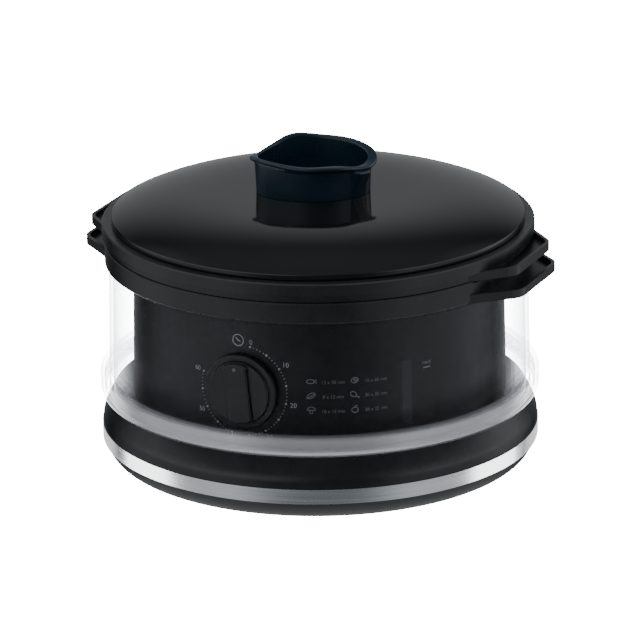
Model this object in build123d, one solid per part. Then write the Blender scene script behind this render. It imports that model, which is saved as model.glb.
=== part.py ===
"""Electric food steamer: a round base with a tall tower, and the parts that are stored on it.

Millimetres, +Z up. The origin is the centre of the base on the surface that it stands on.
The timer faces -Y and the grips of the two trays point along X.
"""
import os
from math import cos, pi, radians, sin, sqrt

from build123d import *

# ---------------------------------------------------------------- clearances and stock sizes
seat_gap = 0.3          # a part that lifts off rests this far above its seat
locating_gap = 0.6      # radial play of the skirts that centre the stacked parts
running_gap = 0.05      # radial play of the timer shaft in its bearings
contact_gap = 0.05      # play of parts that are pressed or brazed together
screw_gap = 0.1         # radial play of a screw in its hole
moulding_wall = 2.4
sheet_steel = 1.2

# ---------------------------------------------------------------- base
base_radius = 130.5             # outside of the trim band
foot_height = 2.0               # the bottom cover stands this high
foot_radius = 9.0
foot_recess = 1.2
foot_inset = 24.5               # centre of a foot inside the pan's flat bottom
pan_bottom_inset = 10.0
pan_rim_inset = 1.9
pan_height = 10.4
band_height = 8.9
band_groove = 0.7               # dark line under the trim band
band_thickness = 1.2
shoulder_edge_inset = 0.5
shoulder_side_height = 2.0      # upright part of the shoulder above the band
shoulder_seat_inset = 7.1       # the bowl rests on the shoulder here
shoulder_seat_drop = 0.078      # share of the shoulder's rise below the deck at that seat
deck_inset = 10.0
deck_height = 42.0
deck_ledge = 9.0                # width of the deck outside the tower
tower_draft = 1.5               # the tower's top is narrower by this
tower_rise = 78.0               # tower above the deck
tower_skirt_depth = 3.0         # skirt of the tower below the deck

# ---------------------------------------------------------------- water tank and heater
tank_gap = 12.0                 # inside of the tank to the outside of the tower's top
tank_wall = 2.0
tank_corner = 8.0
tank_floor_rise = 4.0           # inside bottom of the tank above the deck
tank_flange_drop = 1.0          # flange below the tower's top edge
ledge_width = 4.0
ledge_thickness = 2.4
seal_thickness = 1.0
seal_width = 3.0
heater_hole_radius = 36.0
heater_plate_lap = 8.0          # the plate reaches past its hole by this
heater_plate_thickness = 2.0
heater_gasket_thickness = 1.0
heater_gasket_width = 6.5
clamp_ring_lap = 20.0
clamp_ring_lip = 2.0
clamp_screw_offset = 14.0       # screws outside the heater's hole
clamp_screw_count = 3
clamp_screw_first = 30.0
clamp_boss_radius = 4.0
element_inset = 10.0
element_tube_radius = 3.5
element_gap_angle = 60.0
element_leg = 8.0
element_pin_radius = 1.5
element_pin_length = 6.0
thermostat_radius = 10.5
thermostat_height = 8.0
thermostat_tab = (4.0, 0.8, 8.0)
thermostat_tab_spread = 10.0
fuse_radius = 1.9
fuse_length = 12.0
fuse_lead_radius = 0.45
fuse_lead_length = 4.0
fuse_offset = 15.0
pillar_inset = 14.0             # pillars inside the tank's wall
pillar_radius = 5.0
pillar_angles = (20, 160, 200, 340)

# ---------------------------------------------------------------- water level window
window_angle = -39.0            # seen from above, from +X
window_width = 6.5
window_bottom_rise = 9.0        # bottom of the window above the deck
window_length = 39.0
window_body_margin = 2.75       # the chamber is wider than the window by this on each side
window_body_edge = 2.0
window_wall = 1.6
window_gasket_thickness = 1.5

# ---------------------------------------------------------------- timer
timer_rise = 31.4               # shaft above the deck
timer_case_width = 40.0
timer_case_height = 40.0
timer_case_depth = 23.0
timer_case_wall = 1.6
timer_case_inset = 9.4          # front face of the case inside the tower's outer face
timer_tank_gap = 4.5            # the clockwork's back to the tank's flat side
timer_bracket_width = 62.0
timer_bracket_height = 20.0
timer_screw_margin = 4.5        # screws inside the bracket's ends
timer_screw_length = 4.8
timer_boss_radius = 3.6
shaft_radius = 3.0
shaft_flat = 0.6
shaft_hole_radius = 5.0
shaft_end_depth = 1.5           # skin of the knob in front of the shaft
cam_radius = 13.0
cam_thickness = 3.5
cam_inset = 4.0                 # cam behind the front of the case
cam_notch_radius = 3.0
gear_radius = 15.0
gear_thickness = 2.0
gear_teeth = 36
gear_tooth_depth = 1.4
clockwork_gap = 2.0             # space between the parts on the shaft
spring_strip = 0.5
spring_pitch = 1.6
spring_turns = 6
spring_height = 6.0
bell_radius = 10.0
bell_depth = 7.0
bell_post_radius = 2.0
switch_length = 16.0
switch_height = 20.0
switch_width = 8.0
switch_tab = (4.0, 0.8, 6.0)
side_gap = 1.0                  # space beside the clockwork for the bell and the contacts
knob_clearance = 0.5            # knob behind, to the tower
knob_disc_radius = 22.5
knob_disc_thickness = 3.2
knob_disc_edge = 1.0
knob_face_inset = 3.5
knob_face_height = 1.9
knob_grip_width = 14.0
knob_grip_height = 2.0
knob_grip_edge = 1.2
knob_rest_angle = -6.0          # clockwise from upright, seen from the front
knob_pointer_radius = 1.3
knob_pointer_height = 0.2

# ---------------------------------------------------------------- mains inlet
inlet_drop = 11.0               # below the deck
inlet_bore_radius = 3.4
inlet_body_wall = 1.6
inlet_flange_width = 3.0
inlet_flange_thickness = 2.2
inlet_lip = 1.5
inlet_lip_thickness = 1.8
inlet_inset = 4.0               # seat of the flange inside the base's radius
inlet_wall = 5.4
inlet_pad_margin = 1.0
cord_clamp_inset = 12.5         # clamp in front of the inlet's seat
cord_clamp_spacing = 18.0
cord_clamp_width = 7.0
cord_clamp_thickness = 3.0
cord_clamp_corner = 2.0
cord_clamp_boss = 5.6
terminal_size = (36.0, 18.0, 14.0)
terminal_inset = 42.0           # terminal block in front of the clamp
terminal_well_radius = 3.0
terminal_well_depth = 2.0
terminal_slot = 1.6
wire_radius = 1.1
wire_bend = 7.0

# ---------------------------------------------------------------- screws
screw_radius = 1.6
screw_head_radius = 3.2
screw_head_height = 1.8
screw_tip_room = 1.0
bottom_screw_length = 12.0
bottom_screw_inset = 6.5        # screws inside the deck's edge
bottom_screw_angles = (30, 150, 210, 330)
screw_boss_radius = 4.5

# ---------------------------------------------------------------- clear steam bowl
bowl_flange_overhang = 0.4      # the bowl's flange stands out from the base by this
bowl_flange_width = 5.3
bowl_flange_drop = 0.1          # the flange hangs below the deck by this
bowl_flange_depth = 11.9
bowl_flange_shoulder = 1.6
bowl_flange_bevel = 1.0
bowl_flange_wall = 2.3
bowl_draft = 1.1
bowl_top_gap = 1.3              # the bowl's edge stands above the tower by this

# ---------------------------------------------------------------- drip tray, the lower tray
drip_ring_overhang = 2.5        # the ring stands out from the bowl by this
drip_ring_height = 12.4
tray_edge_bevel = 0.8
tray_skirt_depth = 3.6
drip_opening_radius = 20.0
drip_collar_height = 6.5

# ---------------------------------------------------------------- steam tray, the upper tray
steam_wall_inset = 1.4          # wall inside the drip tray's ring
steam_tray_height = 11.7
steam_lip_overhang = 2.7
steam_lip_height = 7.0
steam_lip_wall = 2.0
steam_rim_inset = 5.2
steam_rim_thickness = 2.2
steam_hole_radius = 2.6
steam_hole_pitch = 17.0

# ---------------------------------------------------------------- grips of the trays
drip_grip_length = 14.0         # grip outside its tray's ring
drip_grip_half_width = 28.0
steam_grip_length = 11.9
steam_grip_half_width = 27.0
grip_root_half_width = 53.0
grip_thickness = 5.0
grip_floor = 2.0
grip_rim = 2.2
grip_corner = 13.0

# ---------------------------------------------------------------- lid
lid_inset = 3.1                 # lid inside the steam tray's wall
lid_edge_height = 3.8
lid_edge_bevel = 1.0
lid_rise = 12.1                 # crown above the lid's edge
lid_flat_radius = 45.0
lid_dome_power = 3.0
lid_skirt_depth = 5.3
lid_turn = 24.0                 # the round lid lies turned by this angle
handle_base = (33.8, 23.0)      # half length and half width of the cup's foot
handle_rim = (35.0, 24.2)       # and of the cup under its lip
handle_shift = 2.6              # the cup lies this far towards the lip's pointed end
handle_lip = (35.2, 25.6)       # half length and half width of the lip
handle_lip_depth = 3.0
handle_spout = 5.4              # the lip's pointed end reaches past its oval by this
handle_height = 25.3            # mean height of the rim
handle_wall = 2.2
handle_screw_spacing = 30.0
handle_boss_radius = 4.0
handle_boss_height = 7.0
handle_washer_radius = 5.0
handle_washer_thickness = 1.0
handle_screw_length = 9.0

# ---------------------------------------------------------------- steam ring in the tank
steam_ring_overhang = 12.0      # the ring stands outside the heater's hole by this
steam_ring_height = 24.0
steam_ring_straight = 0.6       # share of its height that is upright
steam_ring_mouth = 30.0
steam_ring_wall = 2.0
steam_ring_notch = 7.0

# ---------------------------------------------------------------- derived places
pan_bottom_radius = base_radius - pan_bottom_inset
pan_rim_radius = base_radius - pan_rim_inset
pan_top = foot_height + pan_height
cover_floor_top = foot_height + moulding_wall
foot_circle = pan_bottom_radius - foot_inset
band_bottom = pan_top + band_groove
band_top = band_bottom + band_height
band_inner_radius = base_radius - band_thickness
band_seat_radius = band_inner_radius - contact_gap
shoulder_edge_radius = base_radius - shoulder_edge_inset
shoulder_seat_radius = base_radius - shoulder_seat_inset
shoulder_side_top = band_top + shoulder_side_height
shoulder_rise = deck_height - shoulder_side_top
shoulder_seat_height = deck_height - shoulder_seat_drop * shoulder_rise
deck_radius = base_radius - deck_inset
deck_bottom = deck_height - moulding_wall
tower_bottom_radius = deck_radius - deck_ledge
tower_top_radius = tower_bottom_radius - tower_draft
deck_hole_radius = tower_bottom_radius - moulding_wall
tower_height = deck_height + tower_rise
bottom_screw_circle = deck_radius - bottom_screw_inset
ledge_top = tower_height - tank_flange_drop - tank_wall - seal_thickness
tank_flange_bottom = ledge_top + seal_thickness
tank_flange_top = tank_flange_bottom + tank_wall
tank_radius = tower_top_radius - tank_gap
tank_floor_height = deck_height + tank_floor_rise
tank_floor_bottom = tank_floor_height - tank_wall
pillar_circle = tank_radius - pillar_inset
heater_plate_radius = heater_hole_radius + heater_plate_lap
heater_plate_top = tank_floor_bottom - heater_gasket_thickness
heater_plate_bottom = heater_plate_top - heater_plate_thickness
clamp_ring_radius = heater_hole_radius + clamp_ring_lap
clamp_ring_bore = heater_hole_radius + clamp_ring_lip
clamp_screw_circle = heater_hole_radius + clamp_screw_offset
clamp_ring_bottom = heater_plate_bottom - sheet_steel
element_circle = heater_hole_radius - element_inset
steam_ring_radius = heater_hole_radius + steam_ring_overhang
window_bottom = deck_height + window_bottom_rise
window_top = window_bottom + window_length
window_body_width = window_width + 2 * window_body_margin
window_seat = tank_radius + tank_wall + window_gasket_thickness
inlet_height = deck_height - inlet_drop
inlet_body_radius = inlet_bore_radius + inlet_body_wall
inlet_flange_radius = inlet_body_radius + inlet_flange_width
inlet_face = base_radius - inlet_inset          # seat of the outer flange behind the base's axis
inlet_inner_face = inlet_face - inlet_wall
cord_clamp_distance = inlet_face - cord_clamp_inset
terminal_distance = cord_clamp_distance - terminal_inset
bowl_flange_radius = base_radius + bowl_flange_overhang
bowl_flange_bottom = deck_height - bowl_flange_drop
bowl_flange_height = bowl_flange_bottom + bowl_flange_depth
bowl_flange_joint_radius = bowl_flange_radius - bowl_flange_width
bowl_flange_joint_height = bowl_flange_height + bowl_flange_shoulder
bowl_top_radius = bowl_flange_joint_radius - bowl_draft
bowl_top_height = tower_height + bowl_top_gap
drip_ring_radius = bowl_top_radius + drip_ring_overhang
drip_bottom = bowl_top_height + seat_gap
drip_floor_top = drip_bottom + moulding_wall
drip_top = drip_bottom + drip_ring_height
steam_wall_radius = drip_ring_radius - steam_wall_inset
steam_lip_radius = steam_wall_radius + steam_lip_overhang
steam_rim_inner_radius = steam_wall_radius - steam_rim_inset
steam_bottom = drip_top + seat_gap
steam_floor_top = steam_bottom + moulding_wall
steam_top = steam_bottom + steam_tray_height
lid_radius = steam_wall_radius - lid_inset
lid_bottom = steam_top + seat_gap
lid_edge_top = lid_bottom + lid_edge_height
lid_top = lid_edge_top + lid_rise


def tower_radius(height):
    """Outside radius of the tapered tower at a height."""
    share = (height - deck_height) / tower_rise
    return tower_bottom_radius + (tower_top_radius - tower_bottom_radius) * share


timer_height = deck_height + timer_rise
timer_case_front = tower_radius(timer_height) - timer_case_inset
timer_case_back = timer_case_front - timer_case_depth
timer_case_bottom = timer_height - timer_case_height / 2
timer_bracket_front = timer_case_front + sheet_steel
timer_screw_spacing = timer_bracket_width - 2 * timer_screw_margin
timer_screw_spots = (-timer_screw_spacing / 2, timer_screw_spacing / 2)
tank_flat = timer_case_back - timer_tank_gap - tank_wall
cam_back = timer_case_front - cam_inset - cam_thickness
gear_back = cam_back - clockwork_gap - gear_thickness
spring_back = gear_back - clockwork_gap - spring_height
switch_back = -timer_case_back - timer_case_wall - side_gap
switch_tabs = (switch_back - 0.25 * switch_length, switch_back - 0.75 * switch_length)
knob_back = tower_radius(timer_height) + knob_clearance
knob_disc_front = knob_back + knob_disc_thickness
knob_face_radius = knob_disc_radius - knob_face_inset
knob_face_front = knob_disc_front + knob_face_height
knob_front = knob_face_front + knob_grip_height
shaft_end = knob_face_front - shaft_end_depth


# ---------------------------------------------------------------- general shapes
def turned(outline):
    """A solid of revolution about Z from a list of (radius, height) points."""
    return revolve(make_face(Plane.XZ * Polyline(*outline, close=True)), Axis.Z)


def turned_face(edges):
    """A solid of revolution about Z from edges drawn in the radius, height plane."""
    return revolve(Plane.XZ * make_face(edges), Axis.Z)


def disc(radius, bottom, top):
    """An upright cylinder between two heights."""
    return Pos(0, 0, bottom) * Cylinder(radius, top - bottom, align=(Align.CENTER, Align.CENTER, Align.MIN))


def ring(outer, inner, bottom, top):
    """A flat ring between two heights."""
    return disc(outer, bottom, top) - disc(inner, bottom - 1, top + 1)


def block(x_range, y_range, z_range):
    """A box given by its lowest and highest X, Y and Z."""
    size = [high - low for low, high in (x_range, y_range, z_range)]
    corner = Pos(x_range[0], y_range[0], z_range[0])
    return corner * Box(*size, align=(Align.MIN, Align.MIN, Align.MIN))


def rod(radius, start, end, x=0.0, height=0.0):
    """A round bar along Y between two distances in front of the axis (start is nearer the axis)."""
    turned_bar = Rot(90, 0, 0) * Cylinder(radius, end - start, align=(Align.CENTER, Align.CENTER, Align.MIN))
    return Pos(x, -start, height) * turned_bar


def around(circle, angles, piece):
    """Copies of a piece on a circle about Z."""
    spots = [Pos(circle * cos(radians(a)), circle * sin(radians(a)), 0) for a in angles]
    return [spot * piece for spot in spots]


def even_angles(count, first=0.0):
    """Angles that divide the full turn evenly."""
    return [first + 360 * step / count for step in range(count)]


def screw(length):
    """A cross-head screw that points up, with the seat of its head at the origin."""
    head = disc(screw_head_radius, -screw_head_height, 0)
    shank = disc(screw_radius, 0, length)
    arm = 0.55 * screw_head_radius
    groove = 0.3 * screw_head_radius
    depth = 0.5 * screw_head_height
    cross = Pos(0, 0, -screw_head_height) * (Box(2 * arm, groove, 2 * depth) + Box(groove, 2 * arm, 2 * depth))
    return head + shank - cross


def save(name, shape):
    """Write one node as parts/NAME.step."""
    solids = shape if isinstance(shape, list) else shape.solids()
    flat = [solid for item in solids for solid in item.solids()]
    node = flat[0] if len(flat) == 1 else Compound(children=flat)
    export_step(node, "parts/%s.step" % name)


# ---------------------------------------------------------------- base body
def shoulder_edges(inset):
    """The curved shoulder from its side up to the deck, moved inwards by a wall."""
    rise = shoulder_rise
    fall = shoulder_edge_radius - deck_radius
    shape = ((0.0, 0.0), (0.063, 0.245), (0.168, 0.385), (0.695, 0.922), (1.0, 1.0))
    return [(shoulder_edge_radius - fall * out - inset, shoulder_side_top + rise * up) for out, up in shape]


def make_base_housing():
    """Shoulder and deck in one moulding, with the hole that the tower's foot fits."""
    outer = shoulder_edges(0)
    upper_curve = Spline(*outer, tangents=((0, 1), (-1, 0.05)))
    wall = moulding_wall
    inner_start = (band_seat_radius - wall, shoulder_side_top)
    inner_end = (deck_radius - wall / 2, deck_bottom)
    inner_middle = (shoulder_seat_radius - 0.4 * wall, deck_bottom - 0.35 * shoulder_rise)
    lower_curve = Spline(inner_end, inner_middle, inner_start, tangents=((1, -0.2), (0, -1)))
    edges = [
        Line((band_seat_radius, pan_top), (band_seat_radius, band_top)),
        Line((band_seat_radius, band_top), (shoulder_edge_radius, band_top)),
        Line((shoulder_edge_radius, band_top), outer[0]),
        upper_curve,
        Line(outer[-1], (deck_hole_radius, deck_height)),
        Line((deck_hole_radius, deck_height), (deck_hole_radius, deck_bottom)),
        Line((deck_hole_radius, deck_bottom), inner_end),
        lower_curve,
        Line(inner_start, (band_seat_radius - wall, pan_top)),
        Line((band_seat_radius - wall, pan_top), (band_seat_radius, pan_top)),
    ]
    shell = turned_face(edges)
    boss = disc(screw_boss_radius, cover_floor_top, deck_bottom + wall / 2)
    shell += around(bottom_screw_circle, bottom_screw_angles, boss)
    pilot = disc(screw_radius + screw_gap, cover_floor_top - 1, bottom_screw_tip + screw_tip_room)
    shell -= around(bottom_screw_circle, bottom_screw_angles, pilot)

    clamp_boss = disc(screw_boss_radius, deck_bottom - cord_clamp_boss, deck_bottom + wall / 2)
    clamp_pilot = disc(screw_radius + screw_gap, deck_bottom - cord_clamp_boss - 1, deck_bottom - 0.5)
    for x in (-cord_clamp_spacing / 2, cord_clamp_spacing / 2):
        spot = Pos(x, cord_clamp_distance, 0)
        shell += spot * clamp_boss
        shell -= spot * clamp_pilot

    pad_radius = inlet_flange_radius + inlet_pad_margin
    shell += rod(pad_radius, -inlet_face, -inlet_inner_face, height=inlet_height)
    shell -= rod(pad_radius, -base_radius - 5, -inlet_face, height=inlet_height)
    shell -= rod(inlet_body_radius + contact_gap, -inlet_face - 1, -inlet_inner_face + 1, height=inlet_height)
    return shell


def make_tower_housing():
    """Tapered tower that stands on the deck, with a locating skirt and a ledge for the tank."""
    wall = moulding_wall
    bottom = deck_height + contact_gap
    skirt = deck_hole_radius - screw_gap
    ledge_bottom = ledge_top - ledge_thickness
    ledge_inner = tower_top_radius - wall - ledge_width
    tower = turned([
        (skirt - wall, deck_bottom - tower_skirt_depth), (skirt, deck_bottom - tower_skirt_depth),
        (skirt, bottom), (tower_bottom_radius, bottom),
        (tower_top_radius, tower_height), (tower_top_radius - wall, tower_height),
        (tower_radius(ledge_top) - wall, ledge_top), (ledge_inner, ledge_top), (ledge_inner, ledge_bottom),
        (tower_radius(ledge_bottom) - wall, ledge_bottom), (tower_radius(bottom + wall) - wall, bottom + wall),
        (skirt - wall, bottom + wall)])
    boss_edge = timer_screw_spacing / 2 + timer_boss_radius
    boss_end = sqrt(tower_radius(timer_height) ** 2 - boss_edge ** 2) - 0.3 * wall
    tip = timer_case_front + timer_screw_length + screw_gap
    for x in timer_screw_spots:
        tower += rod(timer_boss_radius, timer_bracket_front, boss_end, x, timer_height)
        tower -= rod(screw_radius + screw_gap, timer_bracket_front - 1, tip, x, timer_height)
    tower -= rod(shaft_hole_radius, timer_case_front, base_radius, height=timer_height)
    return tower - window_slot(window_width + 2 * contact_gap, window_bottom - contact_gap,
                               window_top + contact_gap, tower_top_radius - 3 * wall, base_radius - 1)


bottom_screw_tip = foot_height + foot_recess + bottom_screw_length


def tower_inside(inset):
    """The space inside the tower's outer surface, inset by a wall."""
    return turned([(0, deck_height), (tower_bottom_radius - inset, deck_height),
                   (tower_top_radius - inset, tower_height), (0, tower_height)])


def make_trim_band():
    """The brushed band round the base."""
    return ring(base_radius, band_inner_radius, band_bottom, band_top)


def make_bottom_cover():
    """The pan under the base, with foot recesses, screw holes and cooling slots."""
    wall = moulding_wall
    bend = (0.72 * pan_rim_radius + 0.28 * pan_bottom_radius, foot_height + 0.4 * pan_height)
    inner_bend = (bend[0] - 0.8 * wall, bend[1] + 0.6 * wall)
    edges = [
        Line((0, foot_height), (pan_bottom_radius, foot_height)),
        ThreePointArc((pan_bottom_radius, foot_height), bend, (pan_rim_radius, pan_top)),
        Line((pan_rim_radius, pan_top), (pan_rim_radius - wall, pan_top)),
        ThreePointArc((pan_rim_radius - wall, pan_top), inner_bend,
                      (pan_bottom_radius - wall / 2, cover_floor_top)),
        Line((pan_bottom_radius - wall / 2, cover_floor_top), (0, cover_floor_top)),
        Line((0, cover_floor_top), (0, foot_height)),
    ]
    pan = turned_face(edges)
    foot_pocket = disc(foot_radius, foot_height - 1, foot_height + foot_recess)
    pan -= around(foot_circle, even_angles(4, 45), foot_pocket)
    hole = disc(screw_radius + screw_gap, foot_height - 1, cover_floor_top + 1)
    pocket = disc(screw_head_radius + screw_gap, foot_height - 1, foot_height + foot_recess)
    for circle, angles in ((bottom_screw_circle, bottom_screw_angles), (pillar_circle, pillar_angles)):
        pan -= around(circle, angles, hole + pocket)
    slot_length = 30.0
    slot_width = 3.0
    slot_pitch = 9.0
    for row in range(-2, 3):
        slot = Box(slot_length, slot_width, 4 * wall)
        pan -= Pos(0, row * slot_pitch, foot_height) * slot
    return pan


def make_rubber_feet():
    """Four rubber feet in their recesses."""
    foot = disc(foot_radius - screw_gap, 0, foot_height + foot_recess)
    foot = chamfer(foot.edges().group_by(Axis.Z)[0], 0.6)
    return around(foot_circle, even_angles(4, 45), foot)


def make_bottom_screws():
    """Screws that hold the cover to the base housing and to the pillars of the tank."""
    piece = Pos(0, 0, foot_height + foot_recess) * screw(bottom_screw_length)
    return around(bottom_screw_circle, bottom_screw_angles, piece) + around(pillar_circle, pillar_angles, piece)


# ---------------------------------------------------------------- tank and heater
def tank_form(inset, bottom, top):
    """The round tank with one flat side towards the timer."""
    radius = tank_radius + inset
    flat = tank_flat + inset
    outline = Circle(radius) & Pos(0, radius - flat) * Rectangle(2 * radius + 1, 2 * radius)
    outline = fillet(outline.vertices(), tank_corner + inset)
    return Pos(0, 0, bottom) * extrude(outline, top - bottom)


def make_water_tank():
    """Open tank with a flange on the tower, a heater hole, a gauge slot and four pillars."""
    flange_radius = tower_top_radius - moulding_wall - contact_gap
    tank = disc(flange_radius, tank_flange_bottom, tank_flange_top)
    tank += tank_form(tank_wall, tank_floor_bottom, tank_flange_top)
    pillar = disc(pillar_radius, cover_floor_top, tank_floor_bottom)
    tank += around(pillar_circle, pillar_angles, pillar)
    boss = disc(clamp_boss_radius, heater_plate_bottom, tank_floor_bottom)
    tank += around(clamp_screw_circle, clamp_screw_spots, boss)
    tank -= tank_form(0, tank_floor_height, tank_flange_top + 1)
    tank -= disc(heater_hole_radius, tank_floor_bottom - 1, tank_floor_height + 1)
    hole = screw_radius + screw_gap
    pillar_hole = disc(hole, cover_floor_top - 1, bottom_screw_tip + screw_tip_room)
    tank -= around(pillar_circle, pillar_angles, pillar_hole)
    clamp_hole = disc(hole, heater_plate_bottom - 1, tank_floor_bottom + 0.5 * tank_wall)
    tank -= around(clamp_screw_circle, clamp_screw_spots, clamp_hole)
    tank -= window_slot(window_width, window_bottom + window_wall, window_top - window_wall,
                        tank_radius - 1, tank_radius + tank_wall + 1)
    return tank


def make_tank_seal():
    """Soft ring between the tank's flange and the ledge in the tower."""
    outer = tower_top_radius - moulding_wall - contact_gap
    return ring(outer, outer - seal_width, ledge_top, tank_flange_bottom)


def make_heater_plate():
    """The plate that closes the tank's floor, level with it inside."""
    plate = disc(heater_plate_radius, heater_plate_bottom, heater_plate_top)
    return plate + disc(heater_hole_radius - 2 * screw_gap, heater_plate_top, tank_floor_height)


def make_heater_gasket():
    """Silicone gasket between the heater plate and the tank's floor."""
    outer = heater_hole_radius + heater_gasket_width
    return ring(outer, heater_hole_radius, heater_plate_top, tank_floor_bottom)


def make_heater_clamp():
    """Steel ring that presses the heater plate against its gasket."""
    clamp = ring(clamp_ring_radius, clamp_ring_bore, clamp_ring_bottom, heater_plate_bottom)
    hole = disc(screw_radius + screw_gap, clamp_ring_bottom - 1, heater_plate_bottom + 1)
    return clamp - around(clamp_screw_circle, clamp_screw_spots, hole)


def make_heater_screws():
    """Three screws through the clamp ring into the bosses of the tank."""
    length = tank_floor_bottom - clamp_ring_bottom
    return around(clamp_screw_circle, clamp_screw_spots, Pos(0, 0, clamp_ring_bottom) * screw(length))


clamp_screw_spots = even_angles(clamp_screw_count, clamp_screw_first)
element_height = heater_plate_bottom - element_tube_radius - contact_gap
element_ends = [-90 - element_gap_angle / 2, -90 + element_gap_angle / 2]


def element_end(angle):
    """Place of a cold end of the heating element, seen from above."""
    return element_circle * cos(radians(angle)), element_circle * sin(radians(angle))


def make_heating_element():
    """Sheathed heating tube bent to a horseshoe, with two legs and pins."""
    start = element_ends[1]
    path = Pos(0, 0, element_height) * CenterArc((0, 0), element_circle, start, 360 - element_gap_angle)
    tube = sweep((path ^ 0) * Circle(element_tube_radius), path)
    for angle in element_ends:
        x, y = element_end(angle)
        leg = disc(element_tube_radius, element_height - element_leg, element_height)
        pin = disc(element_pin_radius, element_height - element_leg - element_pin_length, element_height)
        tube += Pos(x, y, 0) * (leg + pin)
        tube += Pos(x, y, element_height) * Sphere(element_tube_radius)
    return tube


def make_thermostat():
    """Disc thermostat under the middle of the heater plate, with two tabs."""
    bottom = heater_plate_bottom - thermostat_height
    body = disc(thermostat_radius, bottom, heater_plate_bottom)
    tab = Box(*thermostat_tab, align=(Align.CENTER, Align.CENTER, Align.MAX))
    for x in (-thermostat_tab_spread / 2, thermostat_tab_spread / 2):
        body += Pos(x, 0, bottom + 1) * tab
    return body


def make_thermal_fuse():
    """Thermal fuse against the heater plate."""
    height = heater_plate_bottom - fuse_radius - contact_gap
    lead = Cylinder(fuse_lead_radius, fuse_length + 2 * fuse_lead_length)
    return Pos(0, fuse_offset, height) * Rot(0, 90, 0) * (Cylinder(fuse_radius, fuse_length) + lead)


# ---------------------------------------------------------------- water level window
def window_slot(width, bottom, top, near, far):
    """An upright radial block in the direction of the window."""
    return Rot(0, 0, window_angle) * block((near, far), (-width / 2, width / 2), (bottom, top))


def make_level_window():
    """Clear chamber beside the tank whose nose fills the slot in the tower."""
    low = window_bottom - window_body_edge
    high = window_top + window_body_edge
    body = window_slot(window_body_width, low, high, tank_radius, base_radius)
    body = body & tower_inside(moulding_wall + contact_gap)
    nose = window_slot(window_width, window_bottom, window_top, tank_radius, base_radius) & tower_inside(0)
    chamber = window_slot(window_width, window_bottom + window_wall, window_top - window_wall,
                          tank_radius - 1, tower_top_radius - window_wall)
    inner_limit = disc(window_seat, 0, tower_height)
    return body + nose - chamber - inner_limit


def make_window_gasket():
    """Gasket between the window's chamber and the side of the tank."""
    low = window_bottom - window_body_edge
    high = window_top + window_body_edge
    pad = window_slot(window_body_width, low, high, tank_radius / 2, base_radius)
    opening = window_slot(window_width, window_bottom + window_wall, window_top - window_wall,
                          tank_radius / 2, base_radius)
    sleeve = ring(window_seat, tank_radius + tank_wall, 0, tower_height)
    return pad & sleeve - opening


# ---------------------------------------------------------------- timer
def make_timer_case():
    """Open-backed case of the clockwork, with the shaft's front bearing."""
    half = timer_case_width / 2
    top = timer_case_bottom + timer_case_height
    wall = timer_case_wall
    case = block((-half, half), (-timer_case_front, -timer_case_back - wall), (timer_case_bottom, top))
    inside = block((-half + wall, half - wall), (-timer_case_front + wall, -timer_case_back),
                   (timer_case_bottom + wall, top - wall))
    return case - inside - rod(shaft_radius + running_gap, timer_case_back, base_radius, height=timer_height)


def make_timer_back_plate():
    """Steel back of the clockwork, with the shaft's rear bearing."""
    half = timer_case_width / 2
    plate = block((-half, half), (-timer_case_back - timer_case_wall, -timer_case_back),
                  (timer_case_bottom, timer_case_bottom + timer_case_height))
    return plate - rod(shaft_radius + running_gap, 0, timer_case_front, height=timer_height)


def make_timer_bracket():
    """Steel plate that carries the clockwork on the front wall of the tower."""
    half = timer_bracket_width / 2
    plate = block((-half, half), (-timer_bracket_front, -timer_case_front),
                  (timer_height - timer_bracket_height / 2, timer_height + timer_bracket_height / 2))
    plate -= rod(shaft_hole_radius, 0, base_radius, height=timer_height)
    for x in timer_screw_spots:
        plate -= rod(screw_radius + screw_gap, 0, base_radius, x, timer_height)
    return plate


def make_timer_screws():
    """Two screws from the clockwork's bracket into the tower."""
    piece = Rot(90, 0, 0) * screw(timer_screw_length)
    return [Pos(x, -timer_case_front, timer_height) * piece for x in timer_screw_spots]


def shaft_section():
    """Round shaft section with one flat."""
    cut = Rectangle(4 * shaft_radius, 2 * shaft_radius)
    return Circle(shaft_radius) - Pos(0, 2 * shaft_radius - shaft_flat) * cut


def shaft_rod(start, end, grow=0.0):
    """The flatted shaft between two distances in front of the axis."""
    section = offset(shaft_section(), grow) if grow else shaft_section()
    bar = Rot(0, knob_rest_angle, 0) * Rot(90, 0, 0) * extrude(section, end - start)
    return Pos(0, -start, timer_height) * bar


def make_timer_shaft():
    """Shaft from the rear bearing into the knob, flatted in the knob only."""
    smooth = rod(shaft_radius, timer_case_back + timer_case_wall / 2, knob_back, height=timer_height)
    return smooth + shaft_rod(knob_back, shaft_end)


def make_timer_knob():
    """Knob with a skirt disc, a raised face, a grip bar and a pointer."""
    knob = rod(knob_disc_radius, knob_back, knob_disc_front, height=timer_height)
    knob = fillet(knob.edges().group_by(Axis.Y)[0], knob_disc_edge)
    knob += rod(knob_face_radius, knob_disc_front, knob_face_front, height=timer_height)
    bar = block((-knob_grip_width / 2, knob_grip_width / 2), (-knob_front, -knob_face_front),
                (-knob_face_radius, knob_face_radius))
    bar = bar & rod(knob_face_radius, knob_face_front, knob_front)
    bar = fillet(bar.edges().group_by(Axis.Y)[0], knob_grip_edge)
    dot = rod(knob_pointer_radius, knob_front, knob_front + knob_pointer_height,
              height=knob_face_radius - 3 * knob_pointer_radius)
    knob += Pos(0, 0, timer_height) * Rot(0, knob_rest_angle, 0) * (bar + dot)
    return knob - shaft_rod(knob_back - 1, shaft_end)


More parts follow.
